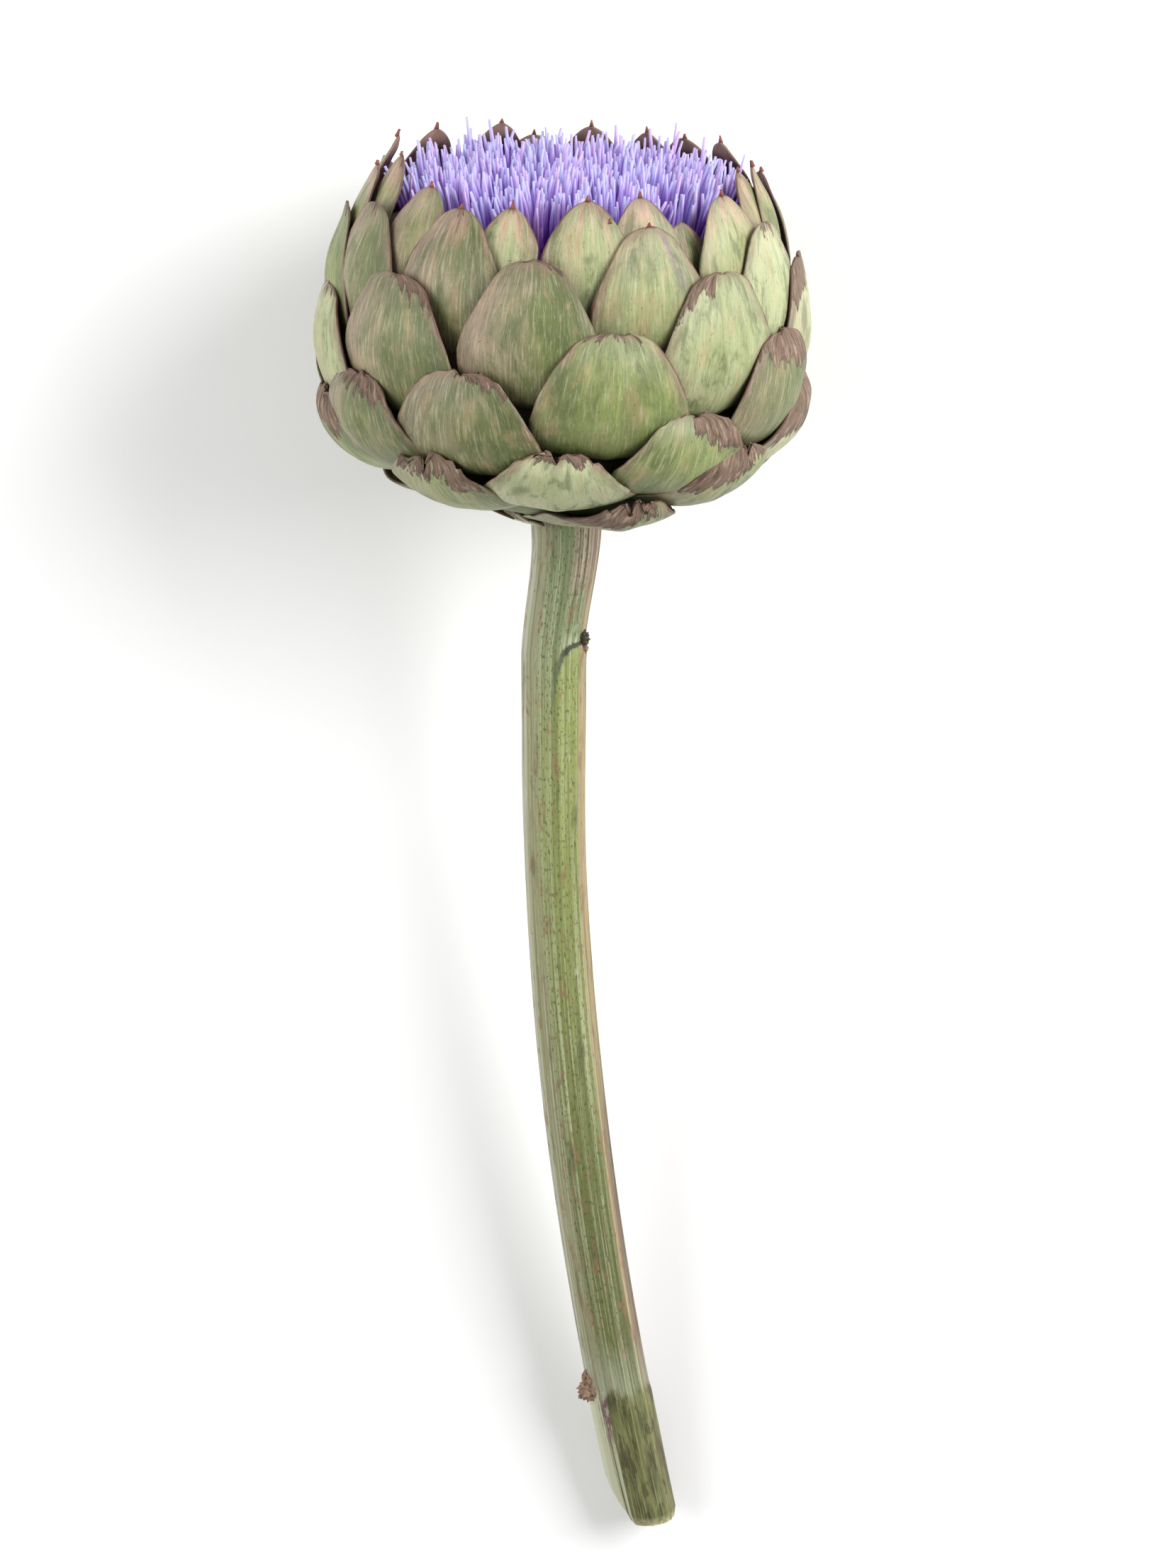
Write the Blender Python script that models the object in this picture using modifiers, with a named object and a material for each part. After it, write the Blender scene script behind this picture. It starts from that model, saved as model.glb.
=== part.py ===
# A globe artichoke in flower on its cut stem, lying on a table.
# The head is shaped upright about its own axis, with the side that will face up towards -Y.
# An empty then lays the whole plant down, so that it rests on two bracts and on the end of the stem.

import math
import random

import bmesh
import bpy
from mathutils import Matrix, Vector

# Head: the outer surface that the bract tips reach, a squared oval turned about the stem's line
HEAD_RADIUS = 0.070
WAIST_HEIGHT = 0.046  # the widest ring above the top of the stem
CROWN_HEIGHT = 0.085  # from the widest ring to where the upper curve would close
LOWER_SQUARENESS = 2.5
UPPER_SQUARENESS = 1.8

# Bracts: scales on a spiral, from the stem to the flower
BRACT_COUNT = 58
GOLDEN_ANGLE = math.radians(137.508)
FIRST_BRACT_ANGLE = math.radians(293.0)
LOWEST_TIP = 0.012
HIGHEST_TIP = 0.1015
CLIMB_POWER = 1.15
SPIRAL_TOP = 50  # the bract from which the tips stop climbing and step inwards
BACK_DIP = 0.003  # how much lower the rim's bracts end on the far side
TIP_SCATTER = 0.0012
TURN_SCATTER = 2.5  # degrees
BRACT_THICKNESS = 0.0014
BRACT_COLUMNS = 4
BRACT_ROWS = 6
ROW_CROWDING = 1.8  # rows lie closer together towards the tip
BRACT_LENGTH = 0.042
LOW_LENGTHENING = 0.012  # how much longer the lowest are, so that they reach the stem
STEM_CLEARANCE = 0.010  # how far from the stem's line along the outline the lowest bracts begin
LOWEST_WIDTH = 0.036
FULL_WIDTH = 0.046
HIGHEST_WIDTH = 0.016
ROOT_NARROWING = 0.15
CAP_DEPTH = 0.0035
TIP_FLAT = 0.13  # least width at the tip, as a share of the whole
WIDEST_BELOW_TIP = 0.62  # where a bract is widest, as a share of its width
WIDEST_IN_LENGTH = 0.7  # and at most this share of its length
ROUND_CAP = 0.38  # share of the width that the rounded tip makes up
POINTED_CAP = 0.22  # the same for the upper bracts, which are pointed
ROUND_SHOULDER = 2.0
POINTED_SHOULDER = 1.4
BULGE = 0.012  # below its tip a bract bulges to the outline
HIGH_BULGE = 0.007
TIP_BOW = 14.0  # how it curves in from there to its tip, per metre
HIGH_TIP_BOW = -18.0  # the upper bracts are straighter
ROOT_BOW = 9.0  # and to its root
ROOT_BACK = (0.018, 0.020)  # where one of the lowest comes back out to the foot, and over what length
CUPPING = 8.3  # curvature across a bract beyond the head's own, per metre
LOW_CUPPING = 2.4  # times as much for the lowest bracts
STAND_OFF = 0.0030  # how far the lowest tips stand out
STEP_IN = 0.0025  # how far the innermost bracts lie behind the outline

# The stretches of the spiral over which bracts change: first bract and how many more
LOW_TO_USUAL = (0, 16)
WIDENING = (0, 12)
NARROWING = (22, 35)
CAP_POINTING = (20, 28)
SHOULDER_POINTING = (22, 8)
LOWEST_TO_LOW = (1, 6)
USUAL_TO_HIGH = (26, 14)
STRAIGHTENING = (16, 18)
STEPPING_IN = (34, 26)

# Small bracts at the foot: degrees round the head, how far along the outline they reach, and width
FOOT_BRACTS = (
    (-60, 0.0215, 0.025),
    (78, 0.0225, 0.022),
    (190, 0.0225, 0.022),
)
FOOT_STAND_OFF = 0.0018

# Bracts that stand off the spiral: degrees round the head, and metres up it
OFF_RULE = {
    0: (-32, -0.001), 2: (4, -0.0005), 5: (2, 0.0035), 7: (-2, 0.0025), 8: (8.5, 0.007),
    10: (2, -0.005), 12: (-5, 0.0025), 13: (-2.5, 0.004), 15: (3.5, -0.0075), 18: (0, -0.0035),
    19: (-5, -0.003), 20: (1, -0.0005), 21: (-4.5, 0.0035), 23: (3.5, -0.0015), 25: (-11, 0.003),
    26: (-3, 0.0005), 28: (-1, -0.001), 29: (9, 0.0045), 31: (0, -0.001), 33: (-12.5, 0.0005),
    34: (1, 0.0005), 36: (-1, -0.001), 39: (-2, -0.001), 41: (-2.5, -0.001), 42: (-0.5, -0.002),
    44: (3, -0.002), 46: (-6.5, 0), 47: (6.5, -0.004), 49: (-12, -0.002), 52: (1.5, -0.007),
    57: (-2, -0.009),
}

# Heart: the smaller body that the bracts grow from, hollowed for the flower
HEART_DEPTH = 0.0062
HEART_TOP = 0.092
HEART_FOOT = 0.0115  # radius of its flat underside
HEART_SIDES = 28
HEART_STEPS = 10
LIP = 0.004
CUP_RADIUS = 0.0465
CUP_FLOOR = 0.056

# Flower
FLORET_COUNT = 210
CUSHION_TOP = 0.090
FLORET_TIP = 0.1005
FLORET_SPREAD = 0.0465
FLORET_RADIUS = 0.0012
FLORET_SCATTER = 0.003
CUSHION_DOME = 0.002
SUNK = 0.003  # how deep the florets' roots sit in the cushion
GAP = 0.0003

# How the head and its flower sit on the stem: they lean a little to the right
HEAD_LEAN = math.radians(2.0)
HEAD_SET = Matrix.Translation((-0.0016, 0, 0.0004)) @ Matrix.Rotation(HEAD_LEAN, 4, "Y")

# Stem
STEM_LENGTH = 0.310
STEM_RADIUS = 0.0091
STEM_RIBS = 11
RIB_HEIGHT = 0.045  # share of the radius
NECK = 0.965  # thickness as a share of the radius, a few centimetres below the head
FLARE = 0.17  # how much thicker it is where it meets the head
FLARE_REACH = 0.020
THICKENING = 0.05  # and towards the cut
THICKENING_PART = (0.090, 0.100)  # from where and over what length
BEND_START = 0.070
BEND_REACH = 0.0275
BEND_POWER = 1.9
TOP_ASIDE = 0.0008
BACK_SWAY = 0.0040
SWAY_PART = (0.006, 0.040)
STEM_SIDES = 22
STEM_STATIONS = 30
LEAF_STUBS = (  # metres below the head, degrees round the stem, and radius
    (0.038, 62, 0.0022),
    (0.266, -68, 0.0030),
)

# Colours of the plain materials
COLOURS = {
    "bract_head": (0.30, 0.37, 0.18),
    "florets": (0.42, 0.33, 0.85),
    "stem": (0.36, 0.41, 0.22),
}

# How it lies
LEAN_BACK = math.radians(80.24)
HEAD_BASE = Vector((-0.0046, -0.04645, 0.06047))  # puts the flat spot under the head on the origin


def smooth(value):
    value = min(1.0, max(0.0, value))
    return value * value * (3 - 2 * value)


# Outline of the head

def outline_point(angle):
    power = 2 / (UPPER_SQUARENESS if angle > 0 else LOWER_SQUARENESS)
    radius = HEAD_RADIUS * math.cos(angle) ** power
    rise = CROWN_HEIGHT if angle > 0 else -WAIST_HEIGHT
    return Vector((radius, WAIST_HEIGHT + rise * abs(math.sin(angle)) ** power))


def outline_table(steps=400, start=-90, end=60):
    table = []
    travelled = 0.0
    previous = None
    for step in range(steps + 1):
        angle = math.radians(start + (end - start) * step / steps)
        point = outline_point(angle)
        if previous is not None:
            travelled += (point - previous).length
        table.append((travelled, point))
        previous = point
    return table


OUTLINE = outline_table()


def on_outline(distance):
    """The point of the outline that far from the stem, and the outward normal there."""
    low, high = 0, len(OUTLINE) - 1
    while high - low > 1:
        middle = (low + high) // 2
        if OUTLINE[middle][0] < distance:
            low = middle
        else:
            high = middle
    start, end = OUTLINE[low], OUTLINE[high]
    share = (distance - start[0]) / (end[0] - start[0])
    along = (end[1] - start[1]).normalized()
    return start[1].lerp(end[1], share), Vector((along.y, -along.x))


def distance_to_height(height):
    for travelled, point in OUTLINE:
        if point.y >= height:
            return travelled
    return OUTLINE[-1][0]


# Bracts

def over(place, stretch):
    """How far a place is along a stretch of the spiral or the stem, from 0 to 1."""
    return smooth((place - stretch[0]) / stretch[1])


class Bract:
    def __init__(self, index):
        chance = random.Random(100 + index)
        turn, rise = OFF_RULE.get(index, (0, 0))
        climb = math.sin(math.pi / 2 * min(1.0, index / SPIRAL_TOP)) ** CLIMB_POWER
        tip_height = LOWEST_TIP + (HIGHEST_TIP - LOWEST_TIP) * climb
        tip_height += chance.uniform(-TIP_SCATTER, TIP_SCATTER) + rise
        self.angle = FIRST_BRACT_ANGLE - GOLDEN_ANGLE * index
        self.angle += math.radians(chance.uniform(-TURN_SCATTER, TURN_SCATTER) + turn)
        high = over(index, USUAL_TO_HIGH)
        tip_height -= BACK_DIP * high * smooth(-math.cos(self.angle))
        self.tip = distance_to_height(tip_height)
        low = 1 - over(index, LOW_TO_USUAL)
        self.width = LOWEST_WIDTH + (FULL_WIDTH - LOWEST_WIDTH) * over(index, WIDENING)
        self.width -= (FULL_WIDTH - HIGHEST_WIDTH) * over(index, NARROWING)
        self.bulge = BULGE - (BULGE - HIGH_BULGE) * high
        self.tip_bow = TIP_BOW + (HIGH_TIP_BOW - TIP_BOW) * over(index, STRAIGHTENING)
        self.step_in = STEP_IN * over(index, STEPPING_IN)
        self.root_back = 1 - over(index, LOWEST_TO_LOW)
        self.stand_off = STAND_OFF * low
        self.curl = CUPPING * (1 + (LOW_CUPPING - 1) * low)
        self.cap = ROUND_CAP - (ROUND_CAP - POINTED_CAP) * over(index, CAP_POINTING)
        self.shoulder = ROUND_SHOULDER - (ROUND_SHOULDER - POINTED_SHOULDER) * over(index, SHOULDER_POINTING)
        self.fit_length(BRACT_LENGTH + LOW_LENGTHENING * low)

    def fit_length(self, longest):
        self.length = min(longest, self.tip - STEM_CLEARANCE)
        self.widest = min(WIDEST_BELOW_TIP * self.width, WIDEST_IN_LENGTH * self.length)

    def half_width(self, below_tip):
        """A rounded cap, then shoulders that widen to the broadest line."""
        if below_tip < self.widest:
            capped = math.sqrt(1 - (1 - min(1.0, below_tip / CAP_DEPTH)) ** 2)
            rest = 1 - (1 - below_tip / self.widest) ** self.shoulder
            return self.width / 2 * max(TIP_FLAT, self.cap * capped + (1 - self.cap) * rest)
        share = (below_tip - self.widest) / (self.length - self.widest)
        return self.width / 2 * (1 - ROOT_NARROWING * share * share)

    def point(self, across, below_tip):
        """A point of the outer face: across runs from -1 to 1, below_tip in metres."""
        middle, normal = on_outline(self.tip - below_tip)
        bow = self.tip_bow if below_tip < self.bulge else ROOT_BOW
        sink = self.step_in + bow * (below_tip - self.bulge) ** 2
        sink *= 1 - self.root_back * smooth((below_tip - ROOT_BACK[0]) / ROOT_BACK[1])
        sink -= self.stand_off * (1 - below_tip / self.length)
        middle = middle - normal * sink
        sideways = across * self.half_width(below_tip)
        bend = normal.x / max(middle.x, 0.01) + self.curl
        drop = (1 - math.cos(bend * sideways)) / bend
        sideways = math.sin(bend * sideways) / bend
        radius = middle.x - normal.x * drop
        height = middle.y - normal.y * drop
        return Matrix.Rotation(self.angle, 3, "Z") @ Vector((sideways, -radius, height))


def foot_bract(number):
    """One of the lowest spiral bracts, made smaller and set where the head meets the stem."""
    bract = Bract(number)
    degrees, bract.tip, bract.width = FOOT_BRACTS[number]
    bract.angle = math.radians(degrees)
    bract.root_back = 0
    bract.stand_off = FOOT_STAND_OFF
    bract.fit_length(BRACT_LENGTH)
    return bract


def bract_blade(bract, name, blades):
    sheet = bmesh.new()
    bmesh.ops.create_grid(sheet, x_segments=BRACT_COLUMNS, y_segments=BRACT_ROWS, size=1.0)
    for vert in sheet.verts:
        across, down = vert.co.x, (1 - vert.co.y) / 2
        vert.co = bract.point(across, bract.length * down ** ROW_CROWDING)
    mesh = bpy.data.meshes.new(name)
    sheet.to_mesh(mesh)
    sheet.free()
    blade = bpy.data.objects.new(name, mesh)
    blades.objects.link(blade)
    thickness = blade.modifiers.new("thickness", "SOLIDIFY")
    thickness.thickness = BRACT_THICKNESS
    thickness.offset = -1
    return blade


# Joining

def use_only(obj):
    bpy.ops.object.select_all(action="DESELECT")
    obj.select_set(True)
    bpy.context.view_layer.objects.active = obj


def new_collection(name, parent=None):
    collection = bpy.data.collections.new(name)
    (parent or bpy.context.scene.collection).children.link(collection)
    return collection


def join_with(obj, collection):
    """Fuses a collection's solids with obj, and removes them."""
    join = obj.modifiers.new("join", "BOOLEAN")
    join.operation = "UNION"
    join.operand_type = "COLLECTION"
    join.collection = collection
    join.solver = "MANIFOLD"
    use_only(obj)
    bpy.ops.object.modifier_apply(modifier=join.name)
    for piece in list(collection.objects):
        bpy.data.objects.remove(piece)
    bpy.data.collections.remove(collection)


def turned(name, profile, steps, collection):
    """A closed solid turned about Z from (radius, height) points, listed from the top down."""
    mesh = bpy.data.meshes.new(name)
    edges = [(step, step + 1) for step in range(len(profile) - 1)]
    mesh.from_pydata([(radius, 0, height) for radius, height in profile], edges, [])
    obj = bpy.data.objects.new(name, mesh)
    collection.objects.link(obj)
    screw = obj.modifiers.new("turn", "SCREW")
    screw.steps = steps
    screw.render_steps = steps
    screw.use_merge_vertices = True
    screw.merge_threshold = 0.00001
    use_only(obj)
    bpy.ops.object.modifier_apply(modifier=screw.name)
    return obj


# Head

def make_head(collection):
    profile = [(CUP_RADIUS, HEART_TOP - LIP), (CUP_RADIUS + LIP / 2, HEART_TOP)]
    rim = distance_to_height(HEART_TOP)
    for step in range(HEART_STEPS):
        point, normal = on_outline(rim * (1 - step / (HEART_STEPS + 1)))
        inner = point - normal * HEART_DEPTH
        profile.append((inner.x, max(inner.y, 0.0)))
    profile.append((HEART_FOOT, 0.0))
    profile.append((0.0, 0.0))
    profile.insert(0, (CUP_RADIUS, CUP_FLOOR))
    profile.insert(0, (0.0, CUP_FLOOR))
    head = turned("bract_head", profile, HEART_SIDES, collection)
    blades = new_collection("blades")
    for index in range(BRACT_COUNT):
        bract_blade(Bract(index), f"bract_{index:02d}", blades)
    for number in range(len(FOOT_BRACTS)):
        bract_blade(foot_bract(number), f"foot_bract_{number}", blades)
    join_with(head, blades)
    head.data.transform(HEAD_SET)
    return head


# Flower

def floret(number, spikes):
    chance = random.Random(500 + number)
    share = math.sqrt((number + 0.5) / FLORET_COUNT)
    angle = number * GOLDEN_ANGLE
    outward = Vector((math.cos(angle), math.sin(angle), 0))
    root = outward * (CUP_RADIUS - 2 * FLORET_RADIUS - GAP) * share
    root.z = CUSHION_TOP - SUNK
    tip = outward * (FLORET_SPREAD * share)
    tip += Vector((chance.uniform(-1, 1), chance.uniform(-1, 1), 0)) * FLORET_SCATTER / 2
    tip.z = FLORET_TIP + CUSHION_DOME * (1 - share * share)
    tip.z += chance.uniform(-FLORET_SCATTER, FLORET_SCATTER)
    spike = bmesh.new()
    line = tip - root
    place = Matrix.Translation((root + tip) / 2) @ line.to_track_quat("Z", "Y").to_matrix().to_4x4()
    bmesh.ops.create_cone(spike, cap_ends=True, segments=3, radius1=FLORET_RADIUS * 1.2,
                          radius2=FLORET_RADIUS * 0.45, depth=line.length, matrix=place)
    mesh = bpy.data.meshes.new(f"floret_{number:03d}")
    spike.to_mesh(mesh)
    spike.free()
    spikes.objects.link(bpy.data.objects.new(mesh.name, mesh))


def make_florets(collection):
    radius = CUP_RADIUS - GAP
    floor = CUP_FLOOR + GAP
    profile = [
        (0.0, CUSHION_TOP + CUSHION_DOME),
        (radius * 0.5, CUSHION_TOP + CUSHION_DOME * 0.75),
        (radius * 0.85, CUSHION_TOP),
        (radius, CUSHION_TOP - SUNK),
        (radius, floor),
        (0.0, floor),
    ]
    cushion = turned("florets", profile, HEART_SIDES, collection)
    spikes = new_collection("spikes")
    for number in range(FLORET_COUNT):
        floret(number, spikes)
    join_with(cushion, spikes)
    cushion.data.transform(HEAD_SET)
    return cushion


# Stem

def stem_offset(down):
    """How far the stem's middle stands to the right of the head's line, that far below the head."""
    share = max(0.0, (down - BEND_START) / (STEM_LENGTH - BEND_START))
    sway = TOP_ASIDE - BACK_SWAY * over(down, SWAY_PART)
    return BEND_REACH * share ** BEND_POWER + sway


def leaf_stub(down, angle, radius, stubs):
    """What is left of a leaf's base where it was cut from the stem, leaning up and outwards."""
    outward = Vector((math.sin(angle), -math.cos(angle), 0))
    middle = Vector((stem_offset(down), 0, -down)) + outward * STEM_RADIUS
    line = outward + Vector((0, 0, 1))
    place = Matrix.Translation(middle) @ line.to_track_quat("Z", "Y").to_matrix().to_4x4()
    stub = bmesh.new()
    bmesh.ops.create_cone(stub, cap_ends=True, segments=8, radius1=radius, radius2=radius * 0.6,
                          depth=radius * 3, matrix=place)
    mesh = bpy.data.meshes.new("leaf_stub")
    stub.to_mesh(mesh)
    stub.free()
    stubs.objects.link(bpy.data.objects.new(mesh.name, mesh))


def make_stem(collection):
    ring = bpy.data.curves.new("stem_section", "CURVE")
    ring.dimensions = "2D"
    outline = ring.splines.new("POLY")
    outline.points.add(STEM_SIDES - 1)
    for number, point in enumerate(outline.points):
        angle = 2 * math.pi * number / STEM_SIDES
        radius = STEM_RADIUS * (1.0 + RIB_HEIGHT * math.cos(STEM_RIBS * angle))
        point.co = (radius * math.cos(angle), radius * math.sin(angle), 0, 1)
    outline.use_cyclic_u = True
    section = bpy.data.objects.new("stem_section", ring)
    collection.objects.link(section)

    line = bpy.data.curves.new("stem_line", "CURVE")
    line.dimensions = "3D"
    line.bevel_mode = "OBJECT"
    line.bevel_object = section
    line.use_fill_caps = True
    path = line.splines.new("POLY")
    path.points.add(STEM_STATIONS)
    for number, point in enumerate(path.points):
        down = STEM_LENGTH * number / STEM_STATIONS
        point.co = (stem_offset(down), 0, -GAP - down, 1)
        flare = FLARE * math.exp(-down / FLARE_REACH)
        point.radius = NECK + flare + THICKENING * over(down, THICKENING_PART)
    sweep = bpy.data.objects.new("stem_line", line)
    collection.objects.link(sweep)
    bpy.context.view_layer.update()

    graph = bpy.context.evaluated_depsgraph_get()
    mesh = bpy.data.meshes.new_from_object(sweep.evaluated_get(graph))
    weld = bmesh.new()
    weld.from_mesh(mesh)
    bmesh.ops.remove_doubles(weld, verts=weld.verts, dist=0.00001)
    bmesh.ops.recalc_face_normals(weld, faces=weld.faces)
    weld.to_mesh(mesh)
    weld.free()
    stem = bpy.data.objects.new("stem", mesh)
    collection.objects.link(stem)
    bpy.data.objects.remove(sweep)
    bpy.data.objects.remove(section)
    stubs = new_collection("leaf_stubs")
    for down, degrees, radius in LEAF_STUBS:
        leaf_stub(down, math.radians(degrees), radius, stubs)
    join_with(stem, stubs)
    return stem


def paint(part):
    material = bpy.data.materials.new(part.name)
    material.use_nodes = True
    shader = material.node_tree.nodes["Principled BSDF"]
    shader.inputs["Base Color"].default_value = (*COLOURS[part.name], 1.0)
    shader.inputs["Roughness"].default_value = 0.7
    part.data.materials.clear()
    part.data.materials.append(material)


def main():
    for obj in list(bpy.data.objects):
        bpy.data.objects.remove(obj)
    plant = new_collection("artichoke")
    parts = [make_head(plant), make_florets(plant), make_stem(plant)]
    cutters = new_collection("cutters")
    bpy.ops.mesh.primitive_cube_add(size=1, location=(0, 0, -0.5))
    table = bpy.context.active_object
    table.name = "table_top"
    table.display_type = "WIRE"
    table.hide_render = True
    for owner in list(table.users_collection):
        owner.objects.unlink(table)
    cutters.objects.link(table)
    lying = bpy.data.objects.new("lying_down", None)
    plant.objects.link(lying)
    lying.rotation_euler.x = -LEAN_BACK
    lying.location = HEAD_BASE
    for part in parts:
        paint(part)
        part.parent = lying
        flat = part.modifiers.new("flat_spot", "BOOLEAN")
        flat.object = table
        flat.operation = "DIFFERENCE"
        flat.solver = "MANIFOLD"


main()
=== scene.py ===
import math
import random

import bpy
from mathutils import Matrix, Vector, noise


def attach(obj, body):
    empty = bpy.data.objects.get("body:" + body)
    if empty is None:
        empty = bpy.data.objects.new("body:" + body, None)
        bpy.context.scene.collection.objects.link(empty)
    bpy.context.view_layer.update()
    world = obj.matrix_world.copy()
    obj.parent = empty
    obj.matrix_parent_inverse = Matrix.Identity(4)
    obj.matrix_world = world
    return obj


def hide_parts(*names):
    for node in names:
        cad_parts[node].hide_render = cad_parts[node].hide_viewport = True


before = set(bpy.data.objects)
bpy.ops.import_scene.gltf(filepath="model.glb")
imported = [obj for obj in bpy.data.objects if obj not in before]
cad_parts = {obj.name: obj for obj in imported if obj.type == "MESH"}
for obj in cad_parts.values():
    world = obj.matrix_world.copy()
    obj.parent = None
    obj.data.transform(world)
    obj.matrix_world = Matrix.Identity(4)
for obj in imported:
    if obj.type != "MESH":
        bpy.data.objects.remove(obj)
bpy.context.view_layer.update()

# how the plant lies: the head's own upright axes are turned down and set on the table,
# and the head and its flower lean a little to the right of the stem
lyingPlace = {
    "leanBack": math.radians(80.24),
    "headBase": Vector((-0.0046, -0.04645, 0.06047)),
    "headShift": (-0.0016, 0, 0.0004),
    "headLean": math.radians(2.0),
    "lowest": 0.00005,
}
headToWorld = Matrix.Translation(lyingPlace["headBase"]) @ Matrix.Rotation(-lyingPlace["leanBack"], 4, "X")
headSet = Matrix.Translation(lyingPlace["headShift"]) @ Matrix.Rotation(lyingPlace["headLean"], 4, "Y")

headShape = {
    "radius": 0.070,
    "waistHeight": 0.046,
    "crownHeight": 0.085,
    "lowerSquareness": 2.5,
    "upperSquareness": 1.8,
    # degrees that the outline runs through from the foot, and its steps
    "sweep": 150,
    "steps": 800,
    # the underside runs down onto the stem
    "footDrop": 0.0036,
    "footRadius": 0.011,
    "footFade": 0.007,
}


def smooth(value):
    value = min(1.0, max(0.0, value))
    return value * value * (3 - 2 * value)


def layDown(point):
    # flattened where it meets the table
    placed = headToWorld @ Vector(point)
    placed.z = max(placed.z, lyingPlace["lowest"])
    return placed


def layHead(point):
    return layDown(headSet @ Vector(point))


# outline of the head: (radius, height) against the distance travelled from the stem

def outlinePoint(angle):
    power = 2 / headShape["upperSquareness" if angle > 0 else "lowerSquareness"]
    rise = headShape["crownHeight"] if angle > 0 else -headShape["waistHeight"]
    height = headShape["waistHeight"] + rise * abs(math.sin(angle)) ** power
    return Vector((headShape["radius"] * math.cos(angle) ** power, height))


def outlineTable():
    table = []
    travelled = 0.0
    for step in range(headShape["steps"] + 1):
        point = outlinePoint(math.radians(-90 + headShape["sweep"] * step / headShape["steps"]))
        if table:
            travelled += (point - table[-1][1]).length
        table.append((travelled, point))
    return table


outline = outlineTable()


def onOutline(distance):
    low, high = 0, len(outline) - 1
    while high - low > 1:
        middle = (low + high) // 2
        if outline[middle][0] < distance:
            low = middle
        else:
            high = middle
    start, end = outline[low], outline[high]
    share = (distance - start[0]) / (end[0] - start[0])
    along = (end[1] - start[1]).normalized()
    return start[1].lerp(end[1], share), Vector((along.y, -along.x))


def distanceToHeight(height):
    for travelled, point in outline:
        if point.y >= height:
            return travelled
    return outline[-1][0]


def footDrop(radius):
    past = max(radius, headShape["footRadius"]) - headShape["footRadius"]
    return headShape["footDrop"] * math.exp(-past / headShape["footFade"])


# small tools

def deselectAll():
    if bpy.context.object and bpy.context.object.mode != "OBJECT":
        bpy.ops.object.mode_set(mode="OBJECT")
    bpy.ops.object.select_all(action="DESELECT")


def selectOnly(obj):
    deselectAll()
    obj.select_set(True)
    bpy.context.view_layer.objects.active = obj


def faceOutwards():
    bpy.ops.object.mode_set(mode="EDIT")
    bpy.ops.mesh.select_all(action="SELECT")
    bpy.ops.mesh.normals_make_consistent(inside=False)
    bpy.ops.object.mode_set(mode="OBJECT")


def applyAll(obj):
    selectOnly(obj)
    for modifier in list(obj.modifiers):
        bpy.ops.object.modifier_apply(modifier=modifier.name)


def joinPieces(pieces, name):
    deselectAll()
    for piece in pieces:
        piece.select_set(True)
    bpy.context.view_layer.objects.active = pieces[0]
    bpy.ops.object.join()
    joined = bpy.context.object
    joined.name = name
    joined.data.name = name
    return joined


def setValues(obj, lists):
    # a list of numbers for each name, one number a vertex
    for name, values in lists.items():
        layer = obj.data.attributes.new(name, "FLOAT", "POINT")
        layer.data.foreach_set("value", values)


def setFibreMap(obj, places):
    # places holds (across, down) in millimetres for each vertex
    layer = obj.data.uv_layers.new(name="fibre")
    for loop in obj.data.loops:
        layer.data[loop.index].uv = places[loop.vertex_index]


# material tools

# how far along each axis a seed moves a pattern
patternShift = {"X": 410.0, "Y": 730.0, "Z": 57.0}


def srgb(red, green, blue):
    channels = [value / 255 for value in (red, green, blue)]
    linear = [value / 12.92 if value <= 0.04045 else ((value + 0.055) / 1.055) ** 2.4 for value in channels]
    return linear + [1.0]


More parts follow.
